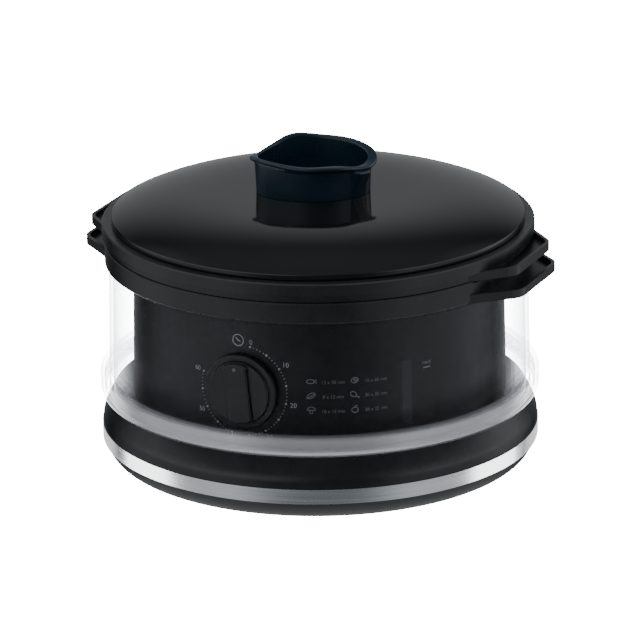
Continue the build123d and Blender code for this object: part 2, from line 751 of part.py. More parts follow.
def make_timer_cam():
    """Cam with the notch that opens the contacts at zero."""
    cam = rod(cam_radius, cam_back, cam_back + cam_thickness, height=timer_height)
    cam -= rod(cam_notch_radius, 0, base_radius, height=timer_height + cam_radius)
    return cam - rod(shaft_radius, 0, base_radius, height=timer_height)


def make_timer_gear():
    """Toothed wheel of the clockwork on the shaft."""
    wheel = rod(gear_radius, gear_back, gear_back + gear_thickness, height=timer_height)
    gap = pi * gear_radius / gear_teeth
    for angle in even_angles(gear_teeth):
        notch = Pos(0, -gear_back, timer_height) * Rot(0, angle, 0) * Pos(0, 0, gear_radius)
        wheel -= notch * Box(gap, 4 * gear_thickness, 2 * gear_tooth_depth)
    return wheel - rod(shaft_radius, 0, base_radius, height=timer_height)


def make_timer_mainspring():
    """Flat spiral spring round the shaft."""
    steps_per_turn = 12
    first = shaft_radius + seat_gap

    def spiral(extra):
        points = []
        for step in range(spring_turns * steps_per_turn + 1):
            turn = step / steps_per_turn
            radius = first + extra + spring_pitch * turn
            points.append((radius * cos(2 * pi * turn), radius * sin(2 * pi * turn)))
        return points

    inner = spiral(0)
    outer = spiral(spring_strip)
    edges = [Spline(*inner), Line(inner[-1], outer[-1]), Spline(*outer), Line(outer[0], inner[0])]
    coil = Rot(90, 0, 0) * extrude(make_face(edges), spring_height)
    return Pos(0, -spring_back, timer_height) * coil


def make_timer_bell():
    """Bell cup on its post beside the clockwork."""
    side = timer_case_width / 2
    middle = timer_case_back + bell_radius + side_gap
    cup = Cylinder(bell_radius, bell_depth, align=(Align.CENTER, Align.CENTER, Align.MIN))
    cup = fillet(cup.edges().group_by(Axis.Z)[-1], 2.5)
    hollow = Cylinder(bell_radius - sheet_steel, bell_depth - sheet_steel,
                      align=(Align.CENTER, Align.CENTER, Align.MIN))
    post = Cylinder(bell_post_radius, bell_depth + side_gap, align=(Align.CENTER, Align.CENTER, Align.MIN))
    bell = Pos(0, 0, side_gap) * (cup - hollow) + post
    return Pos(side, -middle, timer_height) * Rot(0, 90, 0) * bell


def make_timer_switch():
    """Contact block beside the clockwork, with two tabs below."""
    side = -timer_case_width / 2
    low = timer_height - switch_height / 2
    switch = block((side - switch_width, side), (switch_back - switch_length, switch_back),
                   (low, low + switch_height))
    tab = Box(*switch_tab, align=(Align.CENTER, Align.CENTER, Align.MAX))
    for place in switch_tabs:
        switch += Pos(side - switch_width / 2, place, low) * tab
    return switch


# ---------------------------------------------------------------- mains inlet and wiring
def make_cord_inlet():
    """Flanged bush in the back of the base that a mains cord passes through."""
    outer = rod(inlet_flange_radius, -inlet_face - inlet_flange_thickness, -inlet_face, height=inlet_height)
    outer = fillet(outer.edges().group_by(Axis.Y)[-1], 0.8)
    body = rod(inlet_body_radius, -inlet_face, -inlet_inner_face, height=inlet_height)
    lip = rod(inlet_body_radius + inlet_lip, -inlet_inner_face, -inlet_inner_face + inlet_lip_thickness,
              height=inlet_height)
    bore = rod(inlet_bore_radius, -base_radius - 5, 0, height=inlet_height)
    return outer + body + lip - bore


def make_cord_clamp():
    """Bar that would hold the cord's jacket under the deck."""
    half = cord_clamp_spacing / 2 + screw_boss_radius
    top = deck_bottom - cord_clamp_boss
    near = cord_clamp_distance - cord_clamp_width / 2
    bar = block((-half, half), (near, near + cord_clamp_width), (top - cord_clamp_thickness, top))
    bar = fillet(bar.edges().filter_by(Axis.Z), cord_clamp_corner)
    for x in (-cord_clamp_spacing / 2, cord_clamp_spacing / 2):
        bar -= Pos(x, cord_clamp_distance, 0) * disc(screw_radius + screw_gap, 0, deck_bottom)
    return bar


def make_cord_clamp_screws():
    """Two screws of the cord clamp."""
    seat = deck_bottom - cord_clamp_boss - cord_clamp_thickness
    length = cord_clamp_boss + cord_clamp_thickness - 1
    spots = (-cord_clamp_spacing / 2, cord_clamp_spacing / 2)
    return [Pos(x, cord_clamp_distance, seat) * screw(length) for x in spots]


def make_terminal_block():
    """Three-pole terminal block on the bottom cover."""
    width, depth, height = terminal_size
    low = terminal_distance - depth / 2
    top = cover_floor_top + height
    body = block((-width / 2, width / 2), (low, low + depth), (cover_floor_top, top))
    for pole in (-1, 0, 1):
        x = pole * width / 3
        body -= Pos(x, terminal_distance, top) * Cylinder(terminal_well_radius, 2 * terminal_well_depth)
    for pole in (-0.5, 0.5):
        x = pole * width / 3
        body -= block((x - terminal_slot / 2, x + terminal_slot / 2), (low - 1, low + depth + 1),
                      (cover_floor_top + 0.7 * height, top + 1))
    return body


def wire(*points):
    """A round wire along straight runs joined by arcs."""
    path = FilletPolyline(*points, radius=wire_bend)
    return sweep((path ^ 0) * Circle(wire_radius), path)


def make_wires():
    """Live, switched, neutral and earth wires inside the base."""
    width, depth, height = terminal_size
    start_y = terminal_distance - depth / 2
    start_z = cover_floor_top + height / 2
    run_z = start_z
    switch_x = -timer_case_width / 2 - switch_width / 2
    tab_z = timer_height - switch_height / 2 - switch_tab[2]
    pin_z = element_height - element_leg - element_pin_length
    left_pin = element_end(element_ends[0])
    right_pin = element_end(element_ends[1])
    pole = width / 3
    pillar_side = pillar_circle * cos(radians(pillar_angles[0])) - pillar_radius
    side_x = (clamp_ring_radius + pillar_side) / 2
    live = wire((-pole, start_y, start_z), (-pole, start_y - 3 * wire_bend, run_z), (-side_x, 0, run_z),
                (-side_x, -0.9 * side_x, run_z), (switch_x, switch_tabs[1], run_z),
                (switch_x, switch_tabs[1], tab_z))
    switched = wire((switch_x, switch_tabs[0], tab_z), (switch_x, switch_tabs[0], run_z),
                    (left_pin[0], left_pin[1], run_z), (left_pin[0], left_pin[1], pin_z))
    neutral = wire((0, start_y, start_z), (0, start_y - 2 * wire_bend, run_z),
                   (right_pin[0], 1.5 * wire_bend, run_z), (right_pin[0], right_pin[1], run_z),
                   (right_pin[0], right_pin[1], pin_z))
    earth_x = (clamp_ring_radius + heater_plate_radius) / 2
    earth = wire((pole, start_y, start_z), (pole, start_y - 2 * wire_bend, run_z), (earth_x, wire_bend, run_z),
                 (earth_x, -wire_bend, run_z), (earth_x, -wire_bend, clamp_ring_bottom))
    return live, switched, neutral, earth


# ---------------------------------------------------------------- parts that lift off
def make_steam_ring():
    """Ring round the heater that drives the steam up, with notches for the water."""
    bottom = tank_floor_height + seat_gap
    top = bottom + steam_ring_height
    wall = steam_ring_wall
    body = turned([
        (steam_ring_radius, bottom), (steam_ring_radius, bottom + steam_ring_straight * steam_ring_height),
        (steam_ring_mouth + wall, top), (steam_ring_mouth, top),
        (steam_ring_radius - wall, bottom + steam_ring_straight * steam_ring_height - wall / 2),
        (steam_ring_radius - wall, bottom)])
    for angle in even_angles(4):
        notch = Box(6 * wall, steam_ring_notch, steam_ring_notch)
        body -= Rot(0, 0, angle) * Pos(steam_ring_radius, 0, bottom) * notch
    return body


def make_steam_bowl():
    """Clear bottomless bowl over the tower, with a hollow flange round its foot."""
    wall = moulding_wall
    foot = shoulder_seat_height + seat_gap
    web = bowl_flange_wall
    bevel = bowl_flange_bevel
    outer = bowl_flange_radius
    low = bowl_flange_bottom
    roof = bowl_flange_height - web + bevel / 2
    return turned([
        (shoulder_seat_radius, foot),
        (bowl_flange_joint_radius - wall, bowl_flange_joint_height),
        (bowl_top_radius - wall, bowl_top_height),
        (bowl_top_radius, bowl_top_height),
        (bowl_flange_joint_radius, bowl_flange_joint_height),
        (outer - bevel, bowl_flange_height + bevel),
        (outer, bowl_flange_height),
        (outer, low + 3 * bevel),
        (outer - bevel, low),
        (outer - bevel - web, low),
        (outer - web, low + 3 * bevel),
        (outer - web, roof),
        (shoulder_seat_radius + wall, roof),
        (shoulder_seat_radius + wall, foot)])


def grip(reach, half_width, bottom, root_radius):
    """The grips on both sides of a tray: a tab with a raised rim and a scooped top."""
    root_x = sqrt(root_radius ** 2 - grip_root_half_width ** 2)
    outline = make_face(Polyline((root_x, -grip_root_half_width), (reach, -half_width), (reach, half_width),
                                 (root_x, grip_root_half_width), close=True))
    outline = fillet(outline.vertices().group_by(Axis.X)[-1], grip_corner)
    scoop = offset(outline, -grip_rim)
    body = Pos(0, 0, bottom) * extrude(outline, grip_thickness)
    body -= Pos(0, 0, bottom + grip_floor) * extrude(scoop, grip_thickness)
    return body + Rot(0, 0, 180) * body


def make_drip_tray():
    """Shallow juice tray with a raised steam opening."""
    wall = moulding_wall
    skirt = bowl_top_radius - wall - locating_gap
    inner = drip_ring_radius - wall
    bevel = tray_edge_bevel
    body = turned([
        (drip_opening_radius, drip_bottom), (skirt - wall, drip_bottom),
        (skirt - wall, drip_bottom - tray_skirt_depth), (skirt, drip_bottom - tray_skirt_depth),
        (skirt, drip_bottom), (drip_ring_radius - bevel, drip_bottom), (drip_ring_radius, drip_bottom + bevel),
        (drip_ring_radius, drip_top - bevel), (drip_ring_radius - bevel, drip_top), (inner, drip_top),
        (inner, drip_floor_top), (drip_opening_radius + wall, drip_floor_top),
        (drip_opening_radius + wall, drip_floor_top + drip_collar_height),
        (drip_opening_radius, drip_floor_top + drip_collar_height)])
    tabs = grip(drip_ring_radius + drip_grip_length, drip_grip_half_width, drip_bottom, drip_ring_radius - wall)
    return body + (tabs - disc(drip_ring_radius - wall / 2, drip_bottom - 1, drip_top + 1))


def make_steam_tray():
    """Upper tray with a perforated floor and a turned-down rim."""
    wall = moulding_wall
    skirt = drip_ring_radius - wall - locating_gap
    inner = steam_wall_radius - wall
    lip = steam_lip_radius
    bevel = tray_edge_bevel
    body = turned([
        (0, steam_bottom), (skirt - wall, steam_bottom), (skirt - wall, steam_bottom - tray_skirt_depth),
        (skirt, steam_bottom - tray_skirt_depth), (skirt, steam_bottom), (steam_wall_radius, steam_bottom),
        (steam_wall_radius, steam_top - steam_rim_thickness),
        (lip - steam_lip_wall, steam_top - steam_rim_thickness),
        (lip - steam_lip_wall, steam_top - steam_lip_height), (lip, steam_top - steam_lip_height),
        (lip, steam_top - bevel), (lip - bevel, steam_top), (steam_rim_inner_radius, steam_top),
        (steam_rim_inner_radius, steam_top - steam_rim_thickness), (inner, steam_top - steam_rim_thickness),
        (inner, steam_floor_top), (0, steam_floor_top)])
    hole = disc(steam_hole_radius, steam_bottom - 1, steam_floor_top + 1)
    rings = int((inner - 2 * steam_hole_radius) / steam_hole_pitch)
    holes = []
    for step in range(1, rings + 1):
        circle = step * steam_hole_pitch
        holes += around(circle, even_angles(6 * step, 30.0 / step), hole)
    body -= holes
    reach = steam_wall_radius + steam_grip_length
    tabs = grip(reach, steam_grip_half_width, steam_bottom, steam_wall_radius - wall)
    return body + (tabs - disc(steam_wall_radius - wall / 2, steam_bottom - 1, steam_top + 1))


# ---------------------------------------------------------------- lid
def lid_edges(inset):
    """Points of the domed top from its flat crown to its edge, moved inwards by a wall."""
    dome = lid_radius - lid_edge_bevel - lid_flat_radius
    points = []
    for share in (0.0, 0.3, 0.55, 0.75, 0.9, 1.0):
        out = (dome - inset) * share
        fall = (out / dome) ** lid_dome_power
        points.append((lid_flat_radius + out, lid_top - inset - lid_rise * fall))
    return points


def make_lid_shell():
    """Domed lid with a short upright edge and a skirt that centres it in the steam tray."""
    wall = moulding_wall
    outer = lid_edges(0)
    inner = lid_edges(wall)
    skirt = steam_rim_inner_radius - locating_gap
    low = lid_bottom - lid_skirt_depth
    under = (skirt - wall, inner[-1][1])
    inner[-1] = under
    edges = [
        Line((0, lid_top), outer[0]),
        Spline(*outer, tangents=((1, 0), (0.55, -1))),
        Polyline(outer[-1], (lid_radius, lid_edge_top - lid_edge_bevel), (lid_radius, lid_bottom),
                 (skirt, lid_bottom), (skirt, low), (skirt - wall, low), under),
        Spline(*reversed(inner), tangents=((-0.55, 1), (-1, 0))),
        Line(inner[0], (0, lid_top - wall)),
        Line((0, lid_top - wall), (0, lid_top)),
    ]
    lid = turned_face(edges)
    for x in (-handle_screw_spacing / 2, handle_screw_spacing / 2):
        hole = disc(screw_radius + screw_gap, lid_top - 3 * wall, lid_top + 1)
        lid -= Rot(0, 0, lid_turn) * Pos(x, 0, 0) * hole
    return lid


def handle_body(inset, bottom, top):
    """The slightly flaring oval body of the handle between two heights."""
    low = Pos(-handle_shift, 0, bottom) * Ellipse(handle_base[0] - inset, handle_base[1] - inset)
    high = Pos(-handle_shift, 0, top) * Ellipse(handle_rim[0] - inset, handle_rim[1] - inset)
    return loft([low, high])


def lip_outline():
    """Oval that runs out into a point towards -X."""
    long_half, short_half = handle_lip
    tip = long_half + handle_spout
    along = long_half ** 2 / tip
    across = short_half * sqrt(1 - (long_half / tip) ** 2)
    point = make_face(Polyline((-tip, 0), (-along, across), (-along, -across), close=True))
    return Ellipse(long_half, short_half) + point


def rim_profile(place, rises, drop):
    """Area above the handle's waved rim at one side; each rise is shares of the reach and of the height."""
    reach = handle_lip[0] + 2 * handle_spout
    middle = lid_top + handle_height - drop
    points = [(reach * along, middle + handle_height * rise) for along, rise in rises]
    top = lid_top + 2 * handle_height
    edges = [Spline(*points), Polyline(points[-1], (reach, top), (-reach, top), points[0])]
    return Pos(0, place, 0) * (Plane.XZ * make_face(edges))


def above_rim(drop):
    """Everything above the waved rim, or above a wave this far under it."""
    side = handle_lip[1] + 1
    near_rises = ((-1.0, -0.19), (-0.67, -0.11), (-0.38, -0.18), (0.0, -0.19), (0.33, -0.23), (0.54, -0.38),
                  (0.67, -0.45), (1.0, -0.46))
    far_rises = ((-1.0, -0.19), (-0.67, -0.09), (-0.53, 0.03), (-0.38, 0.16), (0.0, 0.125), (0.33, 0.10),
                 (0.58, 0.115), (1.0, 0.26))
    return loft([rim_profile(-side, near_rises, drop), rim_profile(side, far_rises, drop)])


def make_lid_handle():
    """Open oval cup that stands on the lid, with a waved lip and two screw bosses."""
    top = lid_top + 1.4 * handle_height
    cup = handle_body(0, lid_top, top)
    lip = Pos(0, 0, lid_top) * extrude(lip_outline(), top - lid_top)
    cup += lip & above_rim(handle_lip_depth)
    cup -= handle_body(handle_wall, lid_top + moulding_wall, top + 1)
    for x in (-handle_screw_spacing / 2, handle_screw_spacing / 2):
        cup += Pos(x, 0, 0) * disc(handle_boss_radius, lid_top, lid_top + handle_boss_height)
        cup -= Pos(x, 0, 0) * disc(screw_radius + screw_gap, lid_top - 1, lid_top + handle_boss_height - 1)
    cup -= above_rim(0)
    return Rot(0, 0, lid_turn) * cup


def make_handle_washers():
    """Washers under the heads of the handle's screws."""
    top = lid_top - moulding_wall
    washer = ring(handle_washer_radius, screw_radius + screw_gap, top - handle_washer_thickness, top)
    spots = (-handle_screw_spacing / 2, handle_screw_spacing / 2)
    return [Rot(0, 0, lid_turn) * Pos(x, 0, 0) * washer for x in spots]


def make_handle_screws():
    """Screws from inside the lid into the handle."""
    seat = lid_top - moulding_wall - handle_washer_thickness
    spots = (-handle_screw_spacing / 2, handle_screw_spacing / 2)
    return [Rot(0, 0, lid_turn) * Pos(x, 0, seat) * screw(handle_screw_length) for x in spots]


def main():
    """Build every node and write it."""
    os.makedirs("parts", exist_ok=True)
    live, switched, neutral, earth = make_wires()
    nodes = {
        "base_housing": make_base_housing(),
        "tower_housing": make_tower_housing(),
        "trim_band": make_trim_band(),
        "bottom_cover": make_bottom_cover(),
        "rubber_feet": make_rubber_feet(),
        "bottom_screws": make_bottom_screws(),
        "water_tank": make_water_tank(),
        "tank_seal": make_tank_seal(),
        "heater_plate": make_heater_plate(),
        "heater_gasket": make_heater_gasket(),
        "heater_clamp_ring": make_heater_clamp(),
        "heater_screws": make_heater_screws(),
        "heating_element": make_heating_element(),
        "thermostat": make_thermostat(),
        "thermal_fuse": make_thermal_fuse(),
        "level_window": make_level_window(),
        "level_window_gasket": make_window_gasket(),
        "timer_case": make_timer_case(),
        "timer_back_plate": make_timer_back_plate(),
        "timer_bracket": make_timer_bracket(),
        "timer_screws": make_timer_screws(),
        "timer_shaft": make_timer_shaft(),
        "timer_knob": make_timer_knob(),
        "timer_cam": make_timer_cam(),
        "timer_gear": make_timer_gear(),
        "timer_mainspring": make_timer_mainspring(),
        "timer_bell": make_timer_bell(),
        "timer_switch": make_timer_switch(),
        "cord_inlet_bush": make_cord_inlet(),
        "cord_clamp": make_cord_clamp(),
        "cord_clamp_screws": make_cord_clamp_screws(),
        "terminal_block": make_terminal_block(),
        "live_wire": live,
        "switched_wire": switched,
        "neutral_wire": neutral,
        "earth_wire": earth,
        "steam_ring": make_steam_ring(),
        "steam_bowl": make_steam_bowl(),
        "drip_tray": make_drip_tray(),
        "steam_tray": make_steam_tray(),
        "lid_shell": make_lid_shell(),
        "lid_handle": make_lid_handle(),
        "handle_washers": make_handle_washers(),
        "handle_screws": make_handle_screws(),
    }
    for name, shape in nodes.items():
        save(name, shape)


main()
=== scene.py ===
"""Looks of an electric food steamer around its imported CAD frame.

The frame gives every place and size, in metres. Each operator dresses one piece or one group of
like pieces, and the panel lists them in the order in which main() calls them.
"""
from math import asin, cos, pi, radians, sin, tan

import bmesh
import bpy
from mathutils import Matrix, Vector
from mathutils.bvhtree import BVHTree


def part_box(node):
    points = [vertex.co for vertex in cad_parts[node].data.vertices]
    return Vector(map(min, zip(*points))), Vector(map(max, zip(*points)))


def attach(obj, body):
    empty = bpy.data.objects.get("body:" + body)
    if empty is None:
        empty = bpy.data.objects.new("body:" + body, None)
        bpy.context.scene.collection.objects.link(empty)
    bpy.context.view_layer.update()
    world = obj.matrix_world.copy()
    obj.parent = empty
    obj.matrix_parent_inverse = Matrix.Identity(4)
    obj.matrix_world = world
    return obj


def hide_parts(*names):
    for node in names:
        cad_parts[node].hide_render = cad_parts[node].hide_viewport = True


bl_info = {
    "name": "Food Steamer Looks",
    "version": (1, 0, 0),
    "blender": (4, 5, 0),
    "location": "View3D > Sidebar > Steamer",
    "description": "Dresses the CAD frame of a round electric food steamer",
    "category": "Object",
}

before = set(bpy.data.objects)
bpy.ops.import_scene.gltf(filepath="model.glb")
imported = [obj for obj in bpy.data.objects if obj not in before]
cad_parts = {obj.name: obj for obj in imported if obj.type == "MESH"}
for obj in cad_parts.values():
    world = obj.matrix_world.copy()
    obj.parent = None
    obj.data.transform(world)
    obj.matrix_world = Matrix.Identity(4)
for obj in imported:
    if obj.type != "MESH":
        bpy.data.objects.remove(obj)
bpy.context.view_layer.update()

MM = 0.001
TURN = 2 * pi
TINY = 1e-6


# ---------------------------------------------------------------- places read from the frame
def low(node):
    """Lowest corner of a node."""
    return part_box(node)[0]


def high(node):
    """Highest corner of a node."""
    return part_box(node)[1]


def reach(node):
    """Outside radius of a round node about the upright axis."""
    return high(node)[1]


def facing(azimuth, elevation=0.0):
    """Unit vector towards a place round the object; azimuth 0 is in front of the timer."""
    return Vector((sin(azimuth) * cos(elevation), -cos(azimuth) * cos(elevation), sin(elevation)))


def solid_tree(node):
    """A node's surface, ready to be probed with straight lines."""
    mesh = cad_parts[node].data
    return BVHTree.FromPolygons([v.co for v in mesh.vertices], [tuple(p.vertices) for p in mesh.polygons])


def probe(tree, start, aim):
    """Where a straight line first meets a surface."""
    return tree.ray_cast(Vector(start), Vector(aim))[0]


def middle_of(places):
    """Mean of some places."""
    return sum(places, Vector()) / len(places)


KNOB_HEIGHT = (low("timer_knob")[2] + high("timer_knob")[2]) / 2
KNOB_RADIUS = high("timer_knob")[0]
KNOB_BACK = -high("timer_knob")[1]
KNOB_FRONT = -low("timer_knob")[1]
CONE_INSET = 5 * MM
CONE_LOW = low("steam_bowl")[2] + CONE_INSET
CONE_HIGH = high("tower_housing")[2] - CONE_INSET


def tower_cone():
    """Radius of the tower at both ends of its cone, taken at its plain rear."""
    tree = solid_tree("tower_housing")
    return [probe(tree, (0, 1, height), (0, -1, 0)).y for height in (CONE_LOW, CONE_HIGH)]


LOW_RADIUS, HIGH_RADIUS = tower_cone()


def tower_point(azimuth, height, lift):
    """A point this far outside the tower's surface."""
    share = (height - CONE_LOW) / (CONE_HIGH - CONE_LOW)
    radius = LOW_RADIUS + (HIGH_RADIUS - LOW_RADIUS) * share + lift
    return facing(azimuth) * radius + Vector((0, 0, height))


# ---------------------------------------------------------------- mesh tools
def new_object(name, mesh):
    """A linked object around a mesh."""
    piece = bpy.data.objects.new(name, mesh)
    bpy.context.scene.collection.objects.link(piece)
    return piece


def closed_piece(name, shape):
    """A linked object of a closed bmesh, with its faces turned outwards."""
    bmesh.ops.recalc_face_normals(shape, faces=shape.faces)
    mesh = bpy.data.meshes.new(name)
    shape.to_mesh(mesh)
    shape.free()
    return new_object(name, mesh)


def smooth(piece, angle):
    """Smooth shading that keeps edges over an angle in degrees, with normals weighted by face size."""
    piece.data.shade_smooth()
    piece.data.set_sharp_from_angle(angle=radians(angle))
    weighted = piece.modifiers.new("weighted", "WEIGHTED_NORMAL")
    weighted.keep_sharp = True


def rounded(outline, steps=4):
    """A closed outline of (radius, height, rounding) with its corners as arcs."""
    points = []
    count = len(outline)
    for index, (radius, height, rounding) in enumerate(outline):
        here = Vector((radius, height))
        before = Vector(outline[index - 1][:2]) - here
        after = Vector(outline[(index + 1) % count][:2]) - here
        if rounding <= 0 or before.length == 0 or after.length == 0:
            points.append((here.x, here.y))
            continue
        half = before.angle(after) / 2
        room = 0.49 * min(before.length, after.length)
        along = min(rounding / max(tan(half), TINY), room)
        start = here + before.normalized() * along
        end = here + after.normalized() * along
        for step in range(steps + 1):
            share = step / steps
            point = start * (1 - share) ** 2 + here * 2 * share * (1 - share) + end * share ** 2
            points.append((point.x, point.y))
    return points


def lathe(name, outline, segments):
    """A closed outline of (radius, height) turned about the upright axis."""
    shape = bmesh.new()
    rings = []
    for radius, height in outline:
        count = 1 if radius < TINY else segments
        angles = [TURN * step / count for step in range(count)]
        rings.append([shape.verts.new((radius * cos(turn), radius * sin(turn), height)) for turn in angles])
    for first, second in zip(rings, rings[1:] + rings[:1]):
        if len(first) == 1 and len(second) == 1:
            continue
        for step in range(segments):
            after = (step + 1) % segments
            if len(first) == 1:
                corners = (first[0], second[after], second[step])
            elif len(second) == 1:
                corners = (first[step], first[after], second[0])
            else:
                corners = (first[step], first[after], second[after], second[step])
            shape.faces.new(corners)
    return closed_piece(name, shape)


def pin(name, centre, radius, bottom, top):
    """A plain round pin, upright at a place."""
    piece = lathe(name, [(0, bottom), (radius, bottom), (radius, top), (0, top)], 32)
    piece.data.transform(Matrix.Translation((centre.x, centre.y, 0)))
    return piece


def skin(name, rings):
    """A closed skin over rings of points, each with the same count; the first and last are filled in."""
    shape = bmesh.new()
    rows = [[shape.verts.new(point) for point in ring] for ring in rings]
    for first, second in zip(rows, rows[1:]):
        for index in range(len(first)):
            after = (index + 1) % len(first)
            shape.faces.new((first[index], first[after], second[after], second[index]))
    shape.faces.new(rows[0])
    shape.faces.new(rows[-1])
    return closed_piece(name, shape)


def apply_modifiers(piece):
    """Make a piece's modifiers part of its mesh."""
    graph = bpy.context.evaluated_depsgraph_get()
    mesh = bpy.data.meshes.new_from_object(piece.evaluated_get(graph))
    piece.modifiers.clear()
    piece.data = mesh


def soften(piece, width, steps):
    """Round a piece's edges and make that part of its mesh."""
    bevel = piece.modifiers.new("edges", "BEVEL")
    bevel.width = width
    bevel.segments = steps
    bevel.limit_method = "ANGLE"
    bevel.angle_limit = radians(40)
    apply_modifiers(piece)


def combine(piece, other, operation):
    """Cut another mesh out of a piece or unite it with the piece, and delete the other."""
    step = piece.modifiers.new("combine", "BOOLEAN")
    step.operation = operation
    step.object = other
    step.solver = "EXACT"
    apply_modifiers(piece)
    bpy.data.objects.remove(other, do_unlink=True)


def place(piece, material, body, slot, *nodes):
    """Give a new piece its finish and its body, and hide the nodes that it stands for; slot is not used."""
    piece.data.materials.clear()
    piece.data.materials.append(material)
    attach(piece, body)
    if nodes:
        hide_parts(*nodes)


def dress(node, material):
    """Give a CAD node a finish."""
    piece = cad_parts[node]
    for slot in piece.material_slots:
        slot.material = material
    if not piece.material_slots:
        piece.data.materials.append(material)


# ---------------------------------------------------------------- materials
class NodeTree:
    """A short way to write the nodes of a material or a world."""

    def __init__(self, owner):
        owner.use_nodes = True
        self.tree = owner.node_tree

    def node(self, kind, **settings):
        """Add a node and set its properties."""
        node = self.tree.nodes.new(kind)
        for key, value in settings.items():
            setattr(node, key, value)
        return node

    def link(self, start, end):
        """Join two sockets."""
        self.tree.links.new(start, end)

    def math(self, operation, first, second):
        """A maths node; the second input may be a number."""
        node = self.node("ShaderNodeMath", operation=operation)
        self.link(first, node.inputs[0])
        if isinstance(second, float):
            node.inputs[1].default_value = second
        else:
            self.link(second, node.inputs[1])
        return node.outputs[0]

    def follow(self, value, start, end, at_start, at_end, **settings):
        """A value that goes from one limit to another as a second value goes from start to end."""
        limits = self.node("ShaderNodeMapRange", **settings)
        limits.inputs["From Min"].default_value = start
        limits.inputs["From Max"].default_value = end
        limits.inputs["To Min"].default_value = at_start
        limits.inputs["To Max"].default_value = at_end
        self.link(value, limits.inputs["Value"])
        return limits.outputs["Result"]


class Nodes(NodeTree):
    """A material's nodes around its main shader."""

    def __init__(self, name):
        self.material = bpy.data.materials.new(name)
        super().__init__(self.material)
        self.shader = self.tree.nodes["Principled BSDF"]
        self.where = self.node("ShaderNodeTexCoord").outputs["Object"]

    def scaled(self, x, y, z):
        """The object's coordinates stretched along its axes."""
        mapping = self.node("ShaderNodeMapping")
        mapping.inputs["Scale"].default_value = (x, y, z)
        self.link(self.where, mapping.inputs["Vector"])
        return mapping.outputs["Vector"]

    def noise(self, scale, detail=3.0, where=None):
        """A noise over the object, in cycles per metre."""
        noise = self.node("ShaderNodeTexNoise")
        noise.inputs["Scale"].default_value = scale
        noise.inputs["Detail"].default_value = detail
        self.link(where or self.where, noise.inputs["Vector"])
        return noise.outputs["Fac"]

    def between(self, noise, low_value, high_value):
        """A value that runs between two limits with the middle of a noise."""
        return self.follow(noise, start=0.3, end=0.7, at_start=low_value, at_end=high_value)

    def colours(self, noise, first, second):
        """A colour that runs between two colours with a noise."""
        mix = self.node("ShaderNodeMix", data_type="RGBA")
        mix.inputs["A"].default_value = (*first, 1)
        mix.inputs["B"].default_value = (*second, 1)
        self.link(self.between(noise, 0, 1), mix.inputs["Factor"])
        self.link(mix.outputs["Result"], self.shader.inputs["Base Color"])

    def rough(self, noise, low_value, high_value):
        """Roughness that runs between two values with a noise."""
        self.link(self.between(noise, low_value, high_value), self.shader.inputs["Roughness"])

    def bump(self, noise, strength, depth):
        """Relief of a depth in metres."""
        bump = self.node("ShaderNodeBump")
        bump.inputs["Strength"].default_value = strength
        bump.inputs["Distance"].default_value = depth
        self.link(noise, bump.inputs["Height"])
        self.link(bump.outputs["Normal"], self.shader.inputs["Normal"])

    def constants(self, **values):
        """Set sockets of the main shader, with _ for the spaces in their names."""
        for name, value in values.items():
            self.shader.inputs[name.replace("_", " ")].default_value = value


def shade(colour, factor):
    """A lighter or darker tone of a colour."""
    return tuple(min(1.0, part * factor) for part in colour)


def surface(name, colour, roughness, tones, sheen, grain):
    """The nodes of a surface with uneven colour, uneven gloss and a fine relief.

    tones and sheen are (cycles per metre, lowest factor, highest factor), and grain is (cycles per
    metre, detail, strength, depth in millimetres).
    """
    nodes = Nodes(name)
    cycles, lowest, highest = tones
    nodes.colours(nodes.noise(cycles), shade(colour, lowest), shade(colour, highest))
    cycles, lowest, highest = sheen
    nodes.rough(nodes.noise(cycles), roughness * lowest, roughness * highest)
    cycles, detail, strength, depth = grain
    nodes.bump(nodes.noise(cycles, detail), strength, depth * MM)
    return nodes


def moulded(name, colour, roughness, grain=1800.0, relief=0.004, specular=0.5):
    """Moulded plastic or rubber: faint tone changes, uneven sheen and a fine grain."""
    nodes = surface(name, colour, roughness, tones=(35.0, 0.75, 1.25), sheen=(120.0, 0.85, 1.15),
                    grain=(grain, 2.0, 0.25, relief))
    nodes.constants(Specular_IOR_Level=specular)
    return nodes.material


def polished(name, colour, roughness):
    """High-gloss plastic: almost even, with a very slight orange peel."""
    nodes = surface(name, colour, roughness, tones=(25.0, 0.85, 1.15), sheen=(90.0, 0.8, 1.3),
                    grain=(160.0, 1.0, 0.2, 0.01))
    return nodes.material


def metal(name, colour, roughness, grain=500.0):
    """Plain rolled or turned metal."""
    nodes = surface(name, colour, roughness, tones=(60.0, 0.85, 1.1), sheen=(grain, 0.75, 1.3),
                    grain=(grain * 2, 3.0, 0.3, 0.004))
    nodes.constants(Metallic=1.0)
    return nodes.material


def brushed_round(name, colour, roughness):
    """Steel brushed round the upright axis."""
    nodes = Nodes(name)
    streaks = nodes.noise(1.0, 4.0, nodes.scaled(14.0, 14.0, 5200.0))
    nodes.colours(streaks, shade(colour, 0.82), shade(colour, 1.12))
    nodes.rough(streaks, roughness * 0.75, roughness * 1.25)
    nodes.bump(streaks, 0.35, 0.006 * MM)
    tangent = nodes.node("ShaderNodeTangent", direction_type="RADIAL", axis="Z")
    nodes.link(tangent.outputs["Tangent"], nodes.shader.inputs["Tangent"])
    nodes.constants(Metallic=1.0, Anisotropic=0.6, Anisotropic_Rotation=0.25)
    return nodes.material


# Height above the bowl's foot in millimetres, and the share of light that its hollow flange sends back
# there, as painted highlight: bands where the clear plastic gets a white, partly mirroring surface
FLANGE_HIGHLIGHT_SHARES = (
    (0.0, 0.16), (1.0, 0.16), (1.3, 0.05), (2.0, 0.05), (2.4, 0.5),
    (3.1, 0.5), (3.5, 0.14), (7.5, 0.27), (11.0, 0.27), (12.5, 0.0),
)


